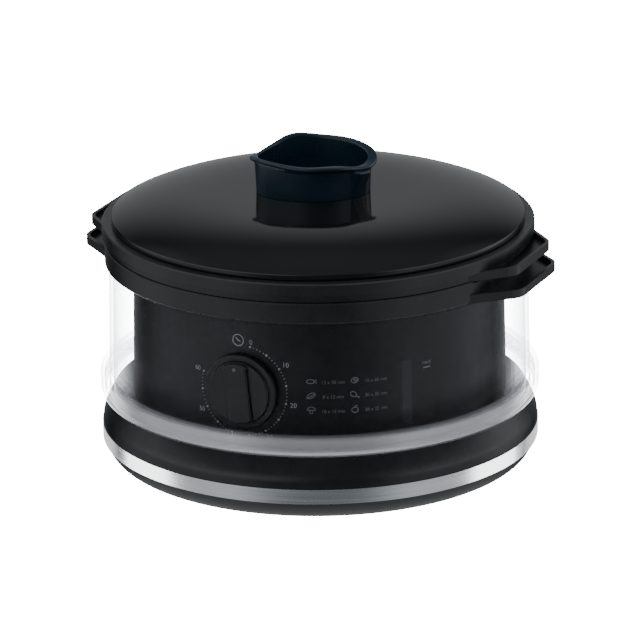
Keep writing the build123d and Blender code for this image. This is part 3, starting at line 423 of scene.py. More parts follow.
def flange_shares(nodes, foot):
    """The share of painted highlight at each height of the bowl, from the flange's table."""
    apart = nodes.node("ShaderNodeSeparateXYZ")
    nodes.link(nodes.where, apart.inputs["Vector"])
    top = FLANGE_HIGHLIGHT_SHARES[-1][0]
    up = nodes.follow(apart.outputs["Z"], start=foot, end=foot + top * MM, at_start=0.0, at_end=1.0)
    ramp = nodes.node("ShaderNodeValToRGB")
    stops = ramp.color_ramp.elements
    while len(stops) < len(FLANGE_HIGHLIGHT_SHARES):
        stops.new(0.5)
    for stop, (height, share) in zip(stops, FLANGE_HIGHLIGHT_SHARES):
        stop.position = height / top
        stop.color = (share, share, share, 1)
    nodes.link(up, ramp.inputs["Fac"])
    return ramp.outputs["Color"]


def clear_plastic(name, colour, foot):
    """Thin clear plastic that mirrors more where it is seen edge-on, with painted highlight bands of white,
    partly mirroring surface round its foot.
    """
    nodes = Nodes(name)
    nodes.colours(nodes.noise(40.0), shade(colour, 0.97), colour)
    nodes.bump(nodes.noise(55.0, 1.0), 0.1, 0.01 * MM)
    nodes.constants(Roughness=0.0)
    through = nodes.node("ShaderNodeBsdfTransparent")
    through.inputs["Color"].default_value = (*shade(colour, 0.965), 1)
    slant = nodes.node("ShaderNodeLayerWeight").outputs["Facing"]
    steep = nodes.math("POWER", slant, 4.0)
    wall = nodes.follow(steep, start=0.05, end=1.0, at_start=0.0, at_end=0.9)
    # painted highlight: white, partly mirroring bands at set heights of the flange
    flange = flange_shares(nodes, foot)
    mirror = nodes.follow(flange, start=0.0, end=0.2, at_start=1.0, at_end=0.5)
    nodes.link(mirror, nodes.shader.inputs["Metallic"])
    mix = nodes.node("ShaderNodeMixShader")
    nodes.link(nodes.math("MAXIMUM", wall, flange), mix.inputs["Fac"])
    nodes.link(through.outputs["BSDF"], mix.inputs[1])
    nodes.link(nodes.shader.outputs["BSDF"], mix.inputs[2])
    nodes.link(mix.outputs["Shader"], nodes.tree.nodes["Material Output"].inputs["Surface"])
    return nodes.material


# ---------------------------------------------------------------- settings
def colour_setting(name, description, default):
    """A colour that a user can change."""
    return bpy.props.FloatVectorProperty(name=name, description=description, subtype="COLOR", size=3,
                                         min=0.0, max=1.0, default=default)


def length_setting(name, description, default):
    """A length in metres that a user can change."""
    return bpy.props.FloatProperty(name=name, description=description, default=default, unit="LENGTH",
                                   precision=5)


def angle_setting(name, description, default):
    """An angle that a user can change, with its default in degrees."""
    return bpy.props.FloatProperty(name=name, description=description, default=radians(default),
                                   subtype="ANGLE")


def number_setting(name, description, default):
    """A plain number that a user can change."""
    return bpy.props.FloatProperty(name=name, description=description, default=default)


class SteamerColours(bpy.types.PropertyGroup):
    """Colours of the steamer's finishes."""

    housing: colour_setting("Housing", "Glossy moulding of the base", (0.0065, 0.0068, 0.0080))
    tower: colour_setting("Tower", "Satin moulding of the tower", (0.0085, 0.0090, 0.0105))
    tray: colour_setting("Trays", "Satin moulding of the two trays", (0.0105, 0.0120, 0.0130))
    lid: colour_setting("Lid", "High-gloss lid", (0.0045, 0.0048, 0.0052))
    handle: colour_setting("Lid handle", "Very dark blue cup on the lid", (0.0046, 0.0155, 0.0250))
    knob: colour_setting("Knob", "Timer knob", (0.0125, 0.0130, 0.0122))
    pan: colour_setting("Bottom cover", "Cover under the base", (0.022, 0.022, 0.024))
    band: colour_setting("Trim band", "Brushed steel band", (0.62, 0.63, 0.65))
    clear: colour_setting("Clear plastic", "Steam bowl", (0.985, 0.988, 1.0))
    window: colour_setting("Level window", "Smoked strip of the water gauge", (0.024, 0.025, 0.028))
    print_ink: colour_setting("Print", "Ink of the dial and the cooking table", (0.34, 0.35, 0.36))


class SteamerSizes(bpy.types.PropertyGroup):
    """Sizes that are only in the looks."""

    edge: length_setting("Edge rounding", "Rounding of the knob's edges", 0.6 * MM)
    print_height: length_setting("Print height", "Ink above the surface that it is printed on", 0.04 * MM)
    dial_radius: length_setting("Dial radius", "Ring of minute dots round the knob", 27.3 * MM)
    numeral_radius: length_setting("Numeral radius", "Ring of the dial's numerals", 31.8 * MM)
    numeral_height: length_setting("Numeral height", "Height of the dial's numerals", 2.9 * MM)
    table_text: length_setting("Table text", "Height of the cooking table's text", 2.0 * MM)
    table_pitch: length_setting("Table pitch", "Distance between the rows of the cooking table", 8.8 * MM)
    table_top: length_setting("Table height", "Height of the cooking table's top row", 81.4 * MM)
    lid_flat: length_setting("Lid crown", "Radius of the lid's flat crown", 45.0 * MM)
    lid_edge: length_setting("Lid edge", "Height of the lid's upright edge", 3.8 * MM)
    wall: length_setting("Wall", "Thickness of the lid's wall and of the handle's floor", 2.4 * MM)


class StageSettings(bpy.types.PropertyGroup):
    """Camera and light."""

    azimuth: angle_setting("Azimuth", "Camera's turn from the front", 24.0)
    elevation: angle_setting("Elevation", "Camera's height angle", 18.75)
    roll: angle_setting("Roll", "Camera's roll", -0.68)
    distance: length_setting("Distance", "Camera to target", 3.12)
    target_height: length_setting("Target height", "Height that the camera looks at", 81.3 * MM)
    target_side: length_setting("Target side", "Sideways shift of the target", 0.4 * MM)
    lens: number_setting("Lens", "Focal length in millimetres", 294.3)
    backdrop: number_setting("Backdrop", "Brightness of the floor and of the backdrop", 20.0)
    overhead: number_setting("Overhead lamp", "Power in watts", 40.0)
    strips: number_setting("Band strips", "Brightness of the strip lamps for the band", 1.0)


def colours():
    """The scene's colours."""
    return bpy.context.scene.steamer_colours


def sizes():
    """The scene's sizes."""
    return bpy.context.scene.steamer_sizes


# ---------------------------------------------------------------- stage
BACKDROP_WHITE = (0.98, 0.985, 1.0, 1)
MIRRORED_WHITE = (0.94, 0.98, 1.0, 1)
# How far a light takes to fade out below and above its heights
FADE = 0.2
# How far towards the front a belt ends and is full at its rear, and the sharp wall towards its middle
BELT_END, BELT_FULL = -0.78, -0.20
WALL_EDGE, WALL_CORE = 0.40, 0.9


class Surroundings(NodeTree):
    """The studio as the object mirrors it: pale areas on a dark dome.

    Turns are in degrees from the camera's side and rises in degrees over the horizon. Heights on the
    dome go from -1, straight down, over 0, the horizon, to 1, straight up.
    """

    def __init__(self, name, front):
        self.world = bpy.data.worlds.new(name)
        super().__init__(self.world)
        self.front = front
        self.where = self.node("ShaderNodeTexCoord").outputs["Generated"]
        self.total = None

    def ramp(self, value, start, end, level):
        """A smooth rise from nothing at one value to a level at another."""
        return self.follow(value, start, end, at_start=0.0, at_end=level, interpolation_type="SMOOTHSTEP")

    def dot(self, direction):
        """How far each place of the dome lies towards a direction, from -1 to 1."""
        node = self.node("ShaderNodeVectorMath", operation="DOT_PRODUCT")
        node.inputs[1].default_value = direction
        self.link(self.where, node.inputs[0])
        return node.outputs["Value"]

    def towards(self, turn, rise=0.0):
        """How far each place of the dome lies towards a turn and a rise, from -1 to 1."""
        return self.dot(facing(self.front + radians(turn), radians(rise)))

    def shine(self, light):
        """Add a light to the dome."""
        self.total = light if self.total is None else self.math("ADD", self.total, light)

    def shine_between(self, light, bottom, top):
        """Add a light that fades out below one height of the dome and above another."""
        height = self.dot((0, 0, 1))
        rising = self.ramp(height, bottom - FADE, bottom, 1.0)
        falling = self.ramp(height, top + FADE, top, 1.0)
        self.shine(self.math("MULTIPLY", self.math("MULTIPLY", light, rising), falling))

    def patch(self, turn, rise, core, edge, level):
        """A round patch of light with a soft edge; core and edge are degrees from its middle."""
        self.shine(self.ramp(self.towards(turn, rise), cos(radians(edge)), cos(radians(core)), level))

    def panel(self, turn, core, edge, bottom, top, level):
        """An upright strip of light with soft ends; core and edge are degrees from its middle."""
        light = self.ramp(self.towards(turn), cos(radians(edge)), cos(radians(core)), level)
        self.shine_between(light, bottom, top)

    def belt(self, turn, front_end, front_full, bottom, top, level):
        """A belt of light along both sides that fades out in front and behind."""
        towards = self.towards(turn)
        light = self.ramp(towards, front_end, front_full, level)
        light = self.math("MULTIPLY", light, self.ramp(towards, BELT_END, BELT_FULL, 1.0))
        self.shine_between(light, bottom, top)

    def sharp_wall(self, turn, bottom, top, level):
        """A white wall that only clear plastic mirrors, because no other surface is perfectly sharp."""
        path = self.node("ShaderNodeLightPath")
        wall = self.ramp(self.towards(turn), WALL_EDGE, WALL_CORE, level)
        self.shine_between(self.math("MULTIPLY", wall, path.outputs["Is Singular Ray"]), bottom, top)

    def finish(self, scene, backdrop):
        """Send the dome to reflections, and an even backdrop to the camera."""
        seen = self.tree.nodes["Background"]
        mirrored = self.node("ShaderNodeBackground")
        mirrored.inputs["Color"].default_value = MIRRORED_WHITE
        seen.inputs["Color"].default_value = BACKDROP_WHITE
        seen.inputs["Strength"].default_value = backdrop
        self.link(self.total, mirrored.inputs["Strength"])
        path = self.node("ShaderNodeLightPath")
        mix = self.node("ShaderNodeMixShader")
        self.link(path.outputs["Is Camera Ray"], mix.inputs["Fac"])
        self.link(mirrored.outputs["Background"], mix.inputs[1])
        self.link(seen.outputs["Background"], mix.inputs[2])
        self.link(mix.outputs["Shader"], self.tree.nodes["World Output"].inputs["Surface"])
        scene.world = self.world


def area_lamp(name, where, width, height, watts):
    """A rectangular lamp that looks at the object's foot and isn't seen through clear plastic."""
    light = bpy.data.lights.new(name, "AREA")
    light.shape = "RECTANGLE"
    light.size = width
    light.size_y = height
    light.energy = watts
    lamp = bpy.data.objects.new(name, light)
    lamp.location = where
    lamp.rotation_euler = (-lamp.location).to_track_quat("-Z", "Y").to_euler()
    lamp.visible_transmission = False
    bpy.context.scene.collection.objects.link(lamp)
    return lamp


# Turn in degrees from the camera's side, width in metres and brightness of the strip lamps on each side
BAND_STRIPS = ((103, 1.25, 6.0), (150, 1.0, 1.3))
STRIP_HEIGHT = 1.3
STRIP_DISTANCE = 2.0
STRIP_RISE = radians(-19)
OVERHEAD_SIZE = 2.4
OVERHEAD_PLACE = Vector((-0.3, -0.6, 2.2))


class STEAMER_OT_stage(bpy.types.Operator):
    """Pale floor, soft studio light and the camera"""

    bl_idname = "steamer.stage"
    bl_label = "Stage"

    def execute(self, context):
        settings = context.scene.steamer_stage
        self.floor(settings)
        self.world(context.scene, settings)
        lamp = area_lamp("overhead", OVERHEAD_PLACE, OVERHEAD_SIZE, OVERHEAD_SIZE, settings.overhead)
        lamp.visible_glossy = False
        self.band_strips(settings)
        self.camera(context.scene, settings)
        return {"FINISHED"}

    def floor(self, settings):
        """A wide floor of pale, faintly mottled board that the object doesn't mirror."""
        mesh = bpy.data.meshes.new("floor")
        shape = bmesh.new()
        bmesh.ops.create_grid(shape, x_segments=24, y_segments=24, size=9.0)
        shape.to_mesh(mesh)
        shape.free()
        floor = new_object("floor", mesh)
        floor.visible_glossy = False
        floor.visible_diffuse = False
        floor.visible_shadow = False
        board = Nodes("pale_floor")
        board.colours(board.noise(3.0), (0.86, 0.86, 0.865), (0.88, 0.88, 0.885))
        board.rough(board.noise(20.0), 0.75, 0.9)
        board.constants(Emission_Color=BACKDROP_WHITE, Emission_Strength=settings.backdrop)
        mesh.materials.append(board.material)

    def world(self, scene, settings):
        """Pale table, walls and ceiling round the object, dim where the camera stands."""
        dome = Surroundings("studio", settings.azimuth)
        # the table beside the object
        dome.belt(0, front_end=0.93, front_full=0.60, bottom=-0.55, top=0.0, level=0.62)
        # the walls a little over the horizon
        dome.belt(12, front_end=0.985, front_full=0.80, bottom=0.05, top=0.25, level=0.95)
        # the dim side of the camera, the wall behind the object, the ceiling, and the table under it
        dome.patch(0, 0, core=20, edge=70, level=0.13)
        dome.patch(180, 6, core=4, edge=39, level=0.38)
        dome.patch(0, 90, core=20, edge=65, level=0.22)
        dome.patch(0, -90, core=30, edge=64, level=0.9)
        # a strip low on the right, and two pale patches above each side
        dome.panel(118, core=10, edge=32, bottom=-0.45, top=-0.15, level=0.4)
        for side in (-1, 1):
            dome.patch(side * 75, 58, core=14, edge=34, level=0.6)
            dome.patch(side * 118, 34, core=12, edge=32, level=0.5)
        dome.sharp_wall(180, bottom=-0.9, top=-0.1, level=4.0)
        dome.finish(scene, settings.backdrop)

    def band_strips(self, settings):
        """Upright strip lamps low on both sides that light the steel band alone."""
        receivers = bpy.data.collections.new("band_strips")
        receivers.objects.link(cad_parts["trim_band"])
        for side in (-1, 1):
            for turn, width, brightness in BAND_STRIPS:
                where = facing(settings.azimuth + side * radians(turn), STRIP_RISE) * STRIP_DISTANCE
                watts = brightness * settings.strips * width * STRIP_HEIGHT * pi
                lamp = area_lamp("band_strip", where, width, STRIP_HEIGHT, watts)
                lamp.visible_camera = False
                lamp.light_linking.receiver_collection = receivers

    def camera(self, scene, settings):
        """Camera from in front, a little to the right."""
        away = facing(settings.azimuth, settings.elevation)
        side = facing(settings.azimuth + pi / 2)
        target = Vector((0, 0, settings.target_height)) + side * settings.target_side
        lens = bpy.data.cameras.new("camera")
        lens.lens = settings.lens
        lens.sensor_width = 36.0
        lens.clip_end = 100.0
        camera = bpy.data.objects.new("camera", lens)
        camera.location = target + away * settings.distance
        aim = (-away).to_track_quat("-Z", "Y").to_matrix()
        camera.rotation_euler = (aim @ Matrix.Rotation(settings.roll, 3, "Z")).to_euler()
        scene.collection.objects.link(camera)
        scene.camera = camera


# ---------------------------------------------------------------- plain CAD nodes
class STEAMER_OT_inner_parts(bpy.types.Operator):
    """Finishes of the parts inside the base and of its fasteners"""

    bl_idname = "steamer.inner_parts"
    bl_label = "Inner parts"

    def execute(self, context):
        steel = metal("turned_steel", (0.56, 0.56, 0.58), 0.28)
        zinc = metal("zinc_sheet", (0.62, 0.62, 0.6), 0.42, grain=180.0)
        heater = brushed_round("heater_steel", (0.6, 0.6, 0.62), 0.3)
        sheath = metal("element_sheath", (0.34, 0.32, 0.30), 0.45, grain=260.0)
        brass = metal("wheel_brass", (0.72, 0.52, 0.22), 0.32)
        silicone = moulded("silicone", (0.48, 0.49, 0.5), 0.55)
        grey = moulded("tank_plastic", (0.20, 0.205, 0.215), 0.38, grain=900.0)
        cream = moulded("nylon", (0.68, 0.66, 0.6), 0.5)
        bakelite = moulded("bakelite", (0.06, 0.035, 0.02), 0.4)
        groups = {
            steel: ("bottom_screws", "heater_screws", "timer_screws", "cord_clamp_screws", "handle_screws",
                    "handle_washers", "timer_shaft", "timer_bell"),
            zinc: ("timer_back_plate", "timer_bracket", "timer_mainspring"),
            heater: ("heater_plate", "heater_clamp_ring"),
            sheath: ("heating_element",),
            brass: ("timer_gear",),
            silicone: ("tank_seal", "heater_gasket", "level_window_gasket"),
            grey: ("water_tank",),
            cream: ("timer_case", "timer_cam", "timer_switch", "cord_clamp", "terminal_block",
                    "thermal_fuse"),
            bakelite: ("thermostat",),
            moulded("black_rubber", (0.012, 0.012, 0.013), 0.7): ("rubber_feet", "cord_inlet_bush"),
            moulded("brown_wire", (0.16, 0.06, 0.02), 0.4): ("live_wire", "switched_wire"),
            moulded("blue_wire", (0.02, 0.08, 0.36), 0.4): ("neutral_wire",),
            moulded("earth_wire", (0.26, 0.42, 0.04), 0.4): ("earth_wire",),
            moulded("steam_ring_plastic", (0.03, 0.031, 0.034), 0.35): ("steam_ring",),
        }
        for material, nodes in groups.items():
            for node in nodes:
                dress(node, material)
        return {"FINISHED"}


# ---------------------------------------------------------------- base
class STEAMER_OT_base(bpy.types.Operator):
    """Housing, tower, trim band, bottom cover and level window"""

    bl_idname = "steamer.base"
    bl_label = "Base"

    def execute(self, context):
        dress("base_housing", moulded("housing_gloss", colours().housing, 0.3, relief=0.001, specular=0.45))
        dress("tower_housing", moulded("tower_satin", colours().tower, 0.36, relief=0.001, specular=0.5))
        dress("trim_band", brushed_round("brushed_band", colours().band, 0.24))
        dress("bottom_cover", moulded("pan_satin", colours().pan, 0.4))
        dress("level_window", moulded("window_smoke", colours().window, 0.12))
        return {"FINISHED"}


# The knob's heights are shares of its depth; insets are from its outer edge or from the face's edge
DISC_SHARE = 0.45
FACE_SHARE = 0.72
FACE_INSET = 3.6 * MM
GRIP_INSET = 0.6 * MM
GRIP_SUNK = 0.6 * MM
GRIP_HALF_WIDTH = 7.4 * MM
GRIP_ROUNDING = 1.1 * MM
GRIP_STEPS = 16
POINTER_RADIUS = 1.2 * MM
POINTER_INSET = 4.2 * MM
POINTER_SUNK = 0.4 * MM
POINTER_PROUD = 0.15 * MM
KNOB_TURN = radians(6.0)


class STEAMER_OT_knob(bpy.types.Operator):
    """Timer knob: a disc, a raised face and a grip bar with a pointer dot"""

    bl_idname = "steamer.knob"
    bl_label = "Knob"

    def execute(self, context):
        depth = KNOB_FRONT - KNOB_BACK
        disc_top = depth * DISC_SHARE
        face_top = depth * FACE_SHARE
        face = KNOB_RADIUS - FACE_INSET
        knob = self.disc(face, disc_top, face_top)
        bar = self.grip_bar(face - GRIP_INSET, face_top - GRIP_SUNK, depth)
        pointer = self.pointer(face - POINTER_INSET, depth)
        turn = Matrix.Rotation(KNOB_TURN, 4, "Z")
        stand = Matrix.Translation((0, -KNOB_BACK, KNOB_HEIGHT)) @ Matrix.Rotation(pi / 2, 4, "X") @ turn
        for piece in (knob, bar, pointer):
            piece.data.transform(stand)
            smooth(piece, 35)
        satin = moulded("knob_satin", colours().knob, 0.34, relief=0.001)
        place(knob, satin, "timer", "knob_black", "timer_knob")
        place(bar, satin, "timer", "knob_black")
        place(pointer, moulded("pointer_ink", shade(colours().print_ink, 0.35), 0.5), "timer", "knob_black")
        return {"FINISHED"}

    def disc(self, face, disc_top, face_top):
        """The knob's disc with its raised face."""
        edge = sizes().edge
        outline = [
            (0, 0, 0), (KNOB_RADIUS, 0, 0.3 * edge), (KNOB_RADIUS, disc_top, 1.4 * edge),
            (face + 0.3 * MM, disc_top, 0.6 * edge), (face - 0.2 * MM, face_top, 1.5 * edge),
            (0, face_top, 0),
        ]
        return lathe("knob", rounded(outline, 6), 128)

    def grip_bar(self, radius, bottom, top):
        """The bar across the face, with ends that follow its round edge."""
        start = asin(GRIP_HALF_WIDTH / radius)
        outline = []
        for side in (1, -1):
            for step in range(GRIP_STEPS + 1):
                angle = side * (start - 2 * start * step / GRIP_STEPS)
                outline.append((radius * sin(angle), side * radius * cos(angle)))
        bar = skin("bar", [[(x, y, height) for x, y in outline] for height in (bottom, top)])
        soften(bar, GRIP_ROUNDING, 4)
        return bar

    def pointer(self, out, top):
        """A small round dot near one end of the bar."""
        bottom = top - POINTER_SUNK
        top += POINTER_PROUD
        outline = [(0, bottom, 0), (POINTER_RADIUS, bottom, 0), (POINTER_RADIUS, top, 0.2 * MM), (0, top, 0)]
        pointer = lathe("pointer", rounded(outline, 2), 32)
        pointer.data.transform(Matrix.Translation((0, out, 0)))
        return pointer


# ---------------------------------------------------------------- prints
def ribbon(points, width, closed=False):
    """Flat strip of quads along a line of (x, y) points."""
    path = [Vector(point) for point in points]
    count = len(path)
    sides = []
    for index, here in enumerate(path):
        before = path[index - 1] if closed or index > 0 else here
        after = path[(index + 1) % count] if closed or index < count - 1 else here
        along = (after - before).normalized()
        across = Vector((-along.y, along.x)) * width / 2
        sides.append((here + across, here - across))
    pairs = zip(sides, sides[1:] + sides[:1]) if closed else zip(sides, sides[1:])
    return [(a[0], a[1], b[1], b[0]) for a, b in pairs]


def oval(x, y, across, up, turn=0.0, steps=20, sweep=TURN):
    """Points round an oval, or along its first part."""
    points = []
    for step in range(steps + 1 if sweep < TURN else steps):
        angle = sweep * step / steps
        along = (across * cos(angle), up * sin(angle))
        points.append((x + along[0] * cos(turn) - along[1] * sin(turn),
                       y + along[0] * sin(turn) + along[1] * cos(turn)))
    return points


def spot(x, y, radius):
    """A round dot as one polygon."""
    return [tuple(Vector(point) for point in oval(x, y, radius, radius, steps=14))]


CAPITAL_SHARE = 0.7


def letters(text, height):
    """Flat polygons of a line of characters that is centred on the origin."""
    curve = bpy.data.curves.new("letters", "FONT")
    curve.body = text
    curve.size = height / CAPITAL_SHARE
    curve.align_x = "CENTER"
    curve.align_y = "CENTER"
    curve.resolution_u = 3
    source = bpy.data.objects.new("letters", curve)
    bpy.context.scene.collection.objects.link(source)
    bpy.context.view_layer.update()
    mesh = bpy.data.meshes.new_from_object(source.evaluated_get(bpy.context.evaluated_depsgraph_get()))
    polygons = [tuple(mesh.vertices[i].co.xy for i in face.vertices) for face in mesh.polygons]
    bpy.data.objects.remove(source, do_unlink=True)
    bpy.data.curves.remove(curve)
    bpy.data.meshes.remove(mesh)
    return polygons


def moved(polygons, x, y):
    """Flat polygons shifted by x and y."""
    return [tuple(point + Vector((x, y)) for point in polygon) for polygon in polygons]


def tower_print(name, polygons, azimuth, height, ink):
    """Thin closed ink on the tower over flat polygons that are wrapped round it."""
    lift = sizes().print_height
    shape = bmesh.new()
    for polygon in polygons:
        shape.faces.new([shape.verts.new((point.x, point.y, 0)) for point in polygon])
    bmesh.ops.remove_doubles(shape, verts=shape.verts, dist=0.002 * MM)
    bmesh.ops.recalc_face_normals(shape, faces=shape.faces)
    raised = bmesh.ops.extrude_face_region(shape, geom=list(shape.faces))
    top = {item for item in raised["geom"] if isinstance(item, bmesh.types.BMVert)}
    for vertex in shape.verts:
        up = height + vertex.co.y
        turn = azimuth + vertex.co.x / LOW_RADIUS
        vertex.co = tower_point(turn, up, lift if vertex in top else -0.5 * lift)
    place(closed_piece(name, shape), ink, "base", "print_light")


DIAL_START = radians(11.0)
FIVE_MINUTES = radians(22.9)
DIAL_MINUTES = 60
MARK_RADIUS = 0.72 * MM
DOT_RADIUS = 0.32 * MM
ZERO_INSET = 1.6 * MM
CLOCK_RADIUS = 3.4 * MM
CLOCK_HANDS = ((-1.5 * MM, 1.5 * MM), (0, 0), (1.6 * MM, -0.5 * MM))
CLOCK_PLACE = (-2.4 * MM, 30.2 * MM)


class STEAMER_OT_dial(bpy.types.Operator):
    """Minute dots, numerals and clock sign round the knob"""

    bl_idname = "steamer.dial"
    bl_label = "Dial print"

    def execute(self, context):
        ink = moulded("dial_ink", colours().print_ink, 0.5)
        dots = []
        for minute in range(DIAL_MINUTES + 1):
            x, y = self.on_dial(minute, sizes().dial_radius)
            dots += spot(x, y, DOT_RADIUS if minute % 5 else MARK_RADIUS)
        tower_print("dial_dots", dots, 0.0, KNOB_HEIGHT, ink)
        numerals = []
        for minute in range(0, DIAL_MINUTES + 1, 10):
            x, y = self.on_dial(minute, sizes().numeral_radius - (0.0 if minute else ZERO_INSET))
            numerals += moved(letters(str(minute), sizes().numeral_height), x, y)
        tower_print("dial_numerals", numerals, 0.0, KNOB_HEIGHT, ink)
        clock = ribbon(oval(0, 0, CLOCK_RADIUS, CLOCK_RADIUS, steps=36), 0.6 * MM, closed=True)
        clock += ribbon(CLOCK_HANDS, 0.65 * MM)
        tower_print("clock_sign", moved(clock, *CLOCK_PLACE), 0.0, KNOB_HEIGHT, ink)
        return {"FINISHED"}

    def on_dial(self, minute, radius):
        """Place of a minute on a ring round the knob, as x and y from the knob's middle."""
        angle = DIAL_START + FIVE_MINUTES * minute / 5
        return radius * sin(angle), radius * cos(angle)


def drawn(points, closed=False):
    """A line of a food sign through points in millimetres."""
    return ribbon([(x * MM, y * MM) for x, y in points], 0.5 * MM, closed)


def drawn_oval(x, y, across, up, turn=0.0):
    """A closed oval of a food sign, in millimetres."""
    return drawn(oval(x, y, across, up, turn), closed=True)


def food_signs():
    """Outline drawings of six foods, each about 6 mm wide, in two columns of three."""
    fish = drawn_oval(-0.4, 0, 2.3, 1.2) + drawn([(1.7, 0.3), (3.0, 1.3), (3.0, -1.3), (1.7, -0.3)])
    leaf = drawn_oval(0, 0.2, 2.6, 1.4, 0.5) + drawn([(-2.8, -1.6), (1.9, 1.1)])
    mushroom = drawn(oval(0, 0.2, 2.4, 1.9, sweep=pi)) + drawn([(-2.4, 0.2), (2.4, 0.2)])
    mushroom += drawn([(-0.8, 0.2), (-0.7, -1.9), (0.7, -1.9), (0.8, 0.2)])
    egg = drawn_oval(0, 0, 2.1, 1.6, 0.3) + drawn_oval(0.2, 0.0, 0.8, 0.7)
    leg = drawn_oval(-0.8, 0.4, 1.9, 1.4, -0.5) + drawn([(0.8, -0.6), (2.4, -1.7)])
    leg += drawn([(2.4, -1.2), (2.6, -2.0), (1.9, -2.1)])
    apple = drawn_oval(0, -0.4, 1.9, 1.6) + drawn([(0, 1.2), (0.5, 2.3)]) + drawn([(0.5, 1.9), (1.6, 2.3)])
    return (fish, leaf, mushroom), (egg, leg, apple)


COLUMN_AZIMUTHS = (radians(21.3), radians(34.4))
COLUMN_TIMES = (("12 x 20 min", "8 x 12 min", "10 x 15 min"), ("15 x 20 min", "30 x 35 min", "20 x 25 min"))
TEXT_RIGHT = 12.8 * MM
TEXT_DOWN = 0.8 * MM
MARK_AZIMUTH = radians(58.0)
MARK_HEIGHT = 84.0 * MM
MARK_LETTERS = 2.0 * MM
MARK_LETTERS_UP = 1.8 * MM
MARK_BAR = ((-2.6 * MM, -1.0 * MM), (2.6 * MM, -1.0 * MM))


class STEAMER_OT_table(bpy.types.Operator):
    """Cooking table with food signs and times, and the mark of the highest water level"""

    bl_idname = "steamer.table"
    bl_label = "Cooking table"

    def execute(self, context):
        faint = moulded("table_ink", shade(colours().print_ink, 0.5), 0.5)
        columns = zip(COLUMN_AZIMUTHS, food_signs(), COLUMN_TIMES)
        for number, (azimuth, signs, times) in enumerate(columns, start=1):
            rows = []
            for row, (sign, text) in enumerate(zip(signs, times)):
                down = -row * sizes().table_pitch
                rows += moved(sign, 0, down)
                rows += moved(letters(text, sizes().table_text), TEXT_RIGHT, down - TEXT_DOWN)
            tower_print("table_column_%d" % number, rows, azimuth, sizes().table_top, faint)
        mark = moved(letters("MAX", MARK_LETTERS), 0, MARK_LETTERS_UP) + ribbon(MARK_BAR, 0.8 * MM)
        ink = moulded("mark_ink", shade(colours().print_ink, 0.6), 0.5)
        tower_print("level_mark", mark, MARK_AZIMUTH, MARK_HEIGHT, ink)
        return {"FINISHED"}


# ---------------------------------------------------------------- bowl, trays and lid
class STEAMER_OT_bowl(bpy.types.Operator):
    """Clear steam bowl"""

    bl_idname = "steamer.bowl"
    bl_label = "Steam bowl"

    def execute(self, context):
        dress("steam_bowl", clear_plastic("bowl_plastic", colours().clear, low("steam_bowl")[2]))
        return {"FINISHED"}


class STEAMER_OT_trays(bpy.types.Operator):
    """Drip tray and steam tray"""

    bl_idname = "steamer.trays"
    bl_label = "Trays"

    def execute(self, context):
        satin = moulded("tray_satin", colours().tray, 0.3, specular=0.45)
        dress("drip_tray", satin)
        dress("steam_tray", satin)
        return {"FINISHED"}


SCREW_BORE = 1.7 * MM


def screw_vertices():
    """Places of all vertices of the handle's two screws."""
    return [vertex.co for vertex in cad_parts["handle_screws"].data.vertices]


def screw_places():
    """Middle of each of the handle's two screws, left and right."""
    return [middle_of([point for point in screw_vertices() if point.x * side > 0]) for side in (-1, 1)]


RIM_GAP = 0.3 * MM
SKIRT_ROUNDING = 0.4 * MM
EDGE_ROUNDING = 1.0 * MM
DOME_STEPS = 32


class STEAMER_OT_lid(bpy.types.Operator):
    """Domed lid with an upright edge and a skirt inside the upper tray"""

    bl_idname = "steamer.lid"
    bl_label = "Lid"

    def execute(self, context):
        radius = reach("lid_shell")
        top = high("lid_shell")[2]
        bottom = low("lid_shell")[2]
        wall = sizes().wall
        rim = high("steam_tray")[2] + RIM_GAP
        edge_top = rim + sizes().lid_edge
        skirt = probe(solid_tree("lid_shell"), (0, radius, bottom + 1 * MM), (0, -1, 0)).y
        inner = skirt - wall
        outline = self.dome(radius, top, edge_top)
        outline += [
            (radius - 0.25 * MM, edge_top - 0.35 * MM), (radius, edge_top - EDGE_ROUNDING),
            (radius, rim + SKIRT_ROUNDING), (radius - SKIRT_ROUNDING, rim), (skirt, rim),
            (skirt, bottom + SKIRT_ROUNDING), (skirt - SKIRT_ROUNDING, bottom),
            (inner + SKIRT_ROUNDING, bottom), (inner, bottom + SKIRT_ROUNDING),
        ]
        outline += reversed(self.dome(skirt, top - wall, edge_top - wall))
        lid = lathe("lid", outline, 320)
        for screw in screw_places():
            combine(lid, pin("hole", screw, SCREW_BORE, top - 10 * MM, top + 10 * MM), "DIFFERENCE")
        smooth(lid, 40)
        place(lid, polished("lid_gloss", colours().lid, 0.07), "lid", "lid_black", "lid_shell")
        return {"FINISHED"}

    def dome(self, radius, top, edge_top):
        """Points from the middle of the flat crown over the dome to its edge."""
        flat = sizes().lid_flat
        reach_out = radius - EDGE_ROUNDING - flat
        points = [(0, top), (flat * 0.5, top)]
        for step in range(DOME_STEPS + 1):
            share = step / DOME_STEPS
            points.append((flat + reach_out * share, top - (top - edge_top) * share ** 3))
        return points


# Heights above the cup's foot: where its outer and inner faces are measured, a point between, and the bosses
BODY_LOW, BODY_HIGH = 0.5 * MM, 15 * MM
HOLLOW_LOW, HOLLOW_HIGH = 8 * MM, 17 * MM
WAIST = 7 * MM
BOSS_TOP = 7 * MM
BOSS_RADIUS = 4 * MM
LIP_ROUNDING = 0.9 * MM
# Share of the way from the body out to the lip, and depth below the rim, of the flare under the lip
FLARE = ((0.0, 4.2 * MM), (0.12, 3.5 * MM), (0.45, 2.9 * MM))
CUP_SEGMENTS = 256
# Starts of the probes: beside the cup, and above it
FAR_OUT = 100 * MM
HIGH_UP = 50 * MM


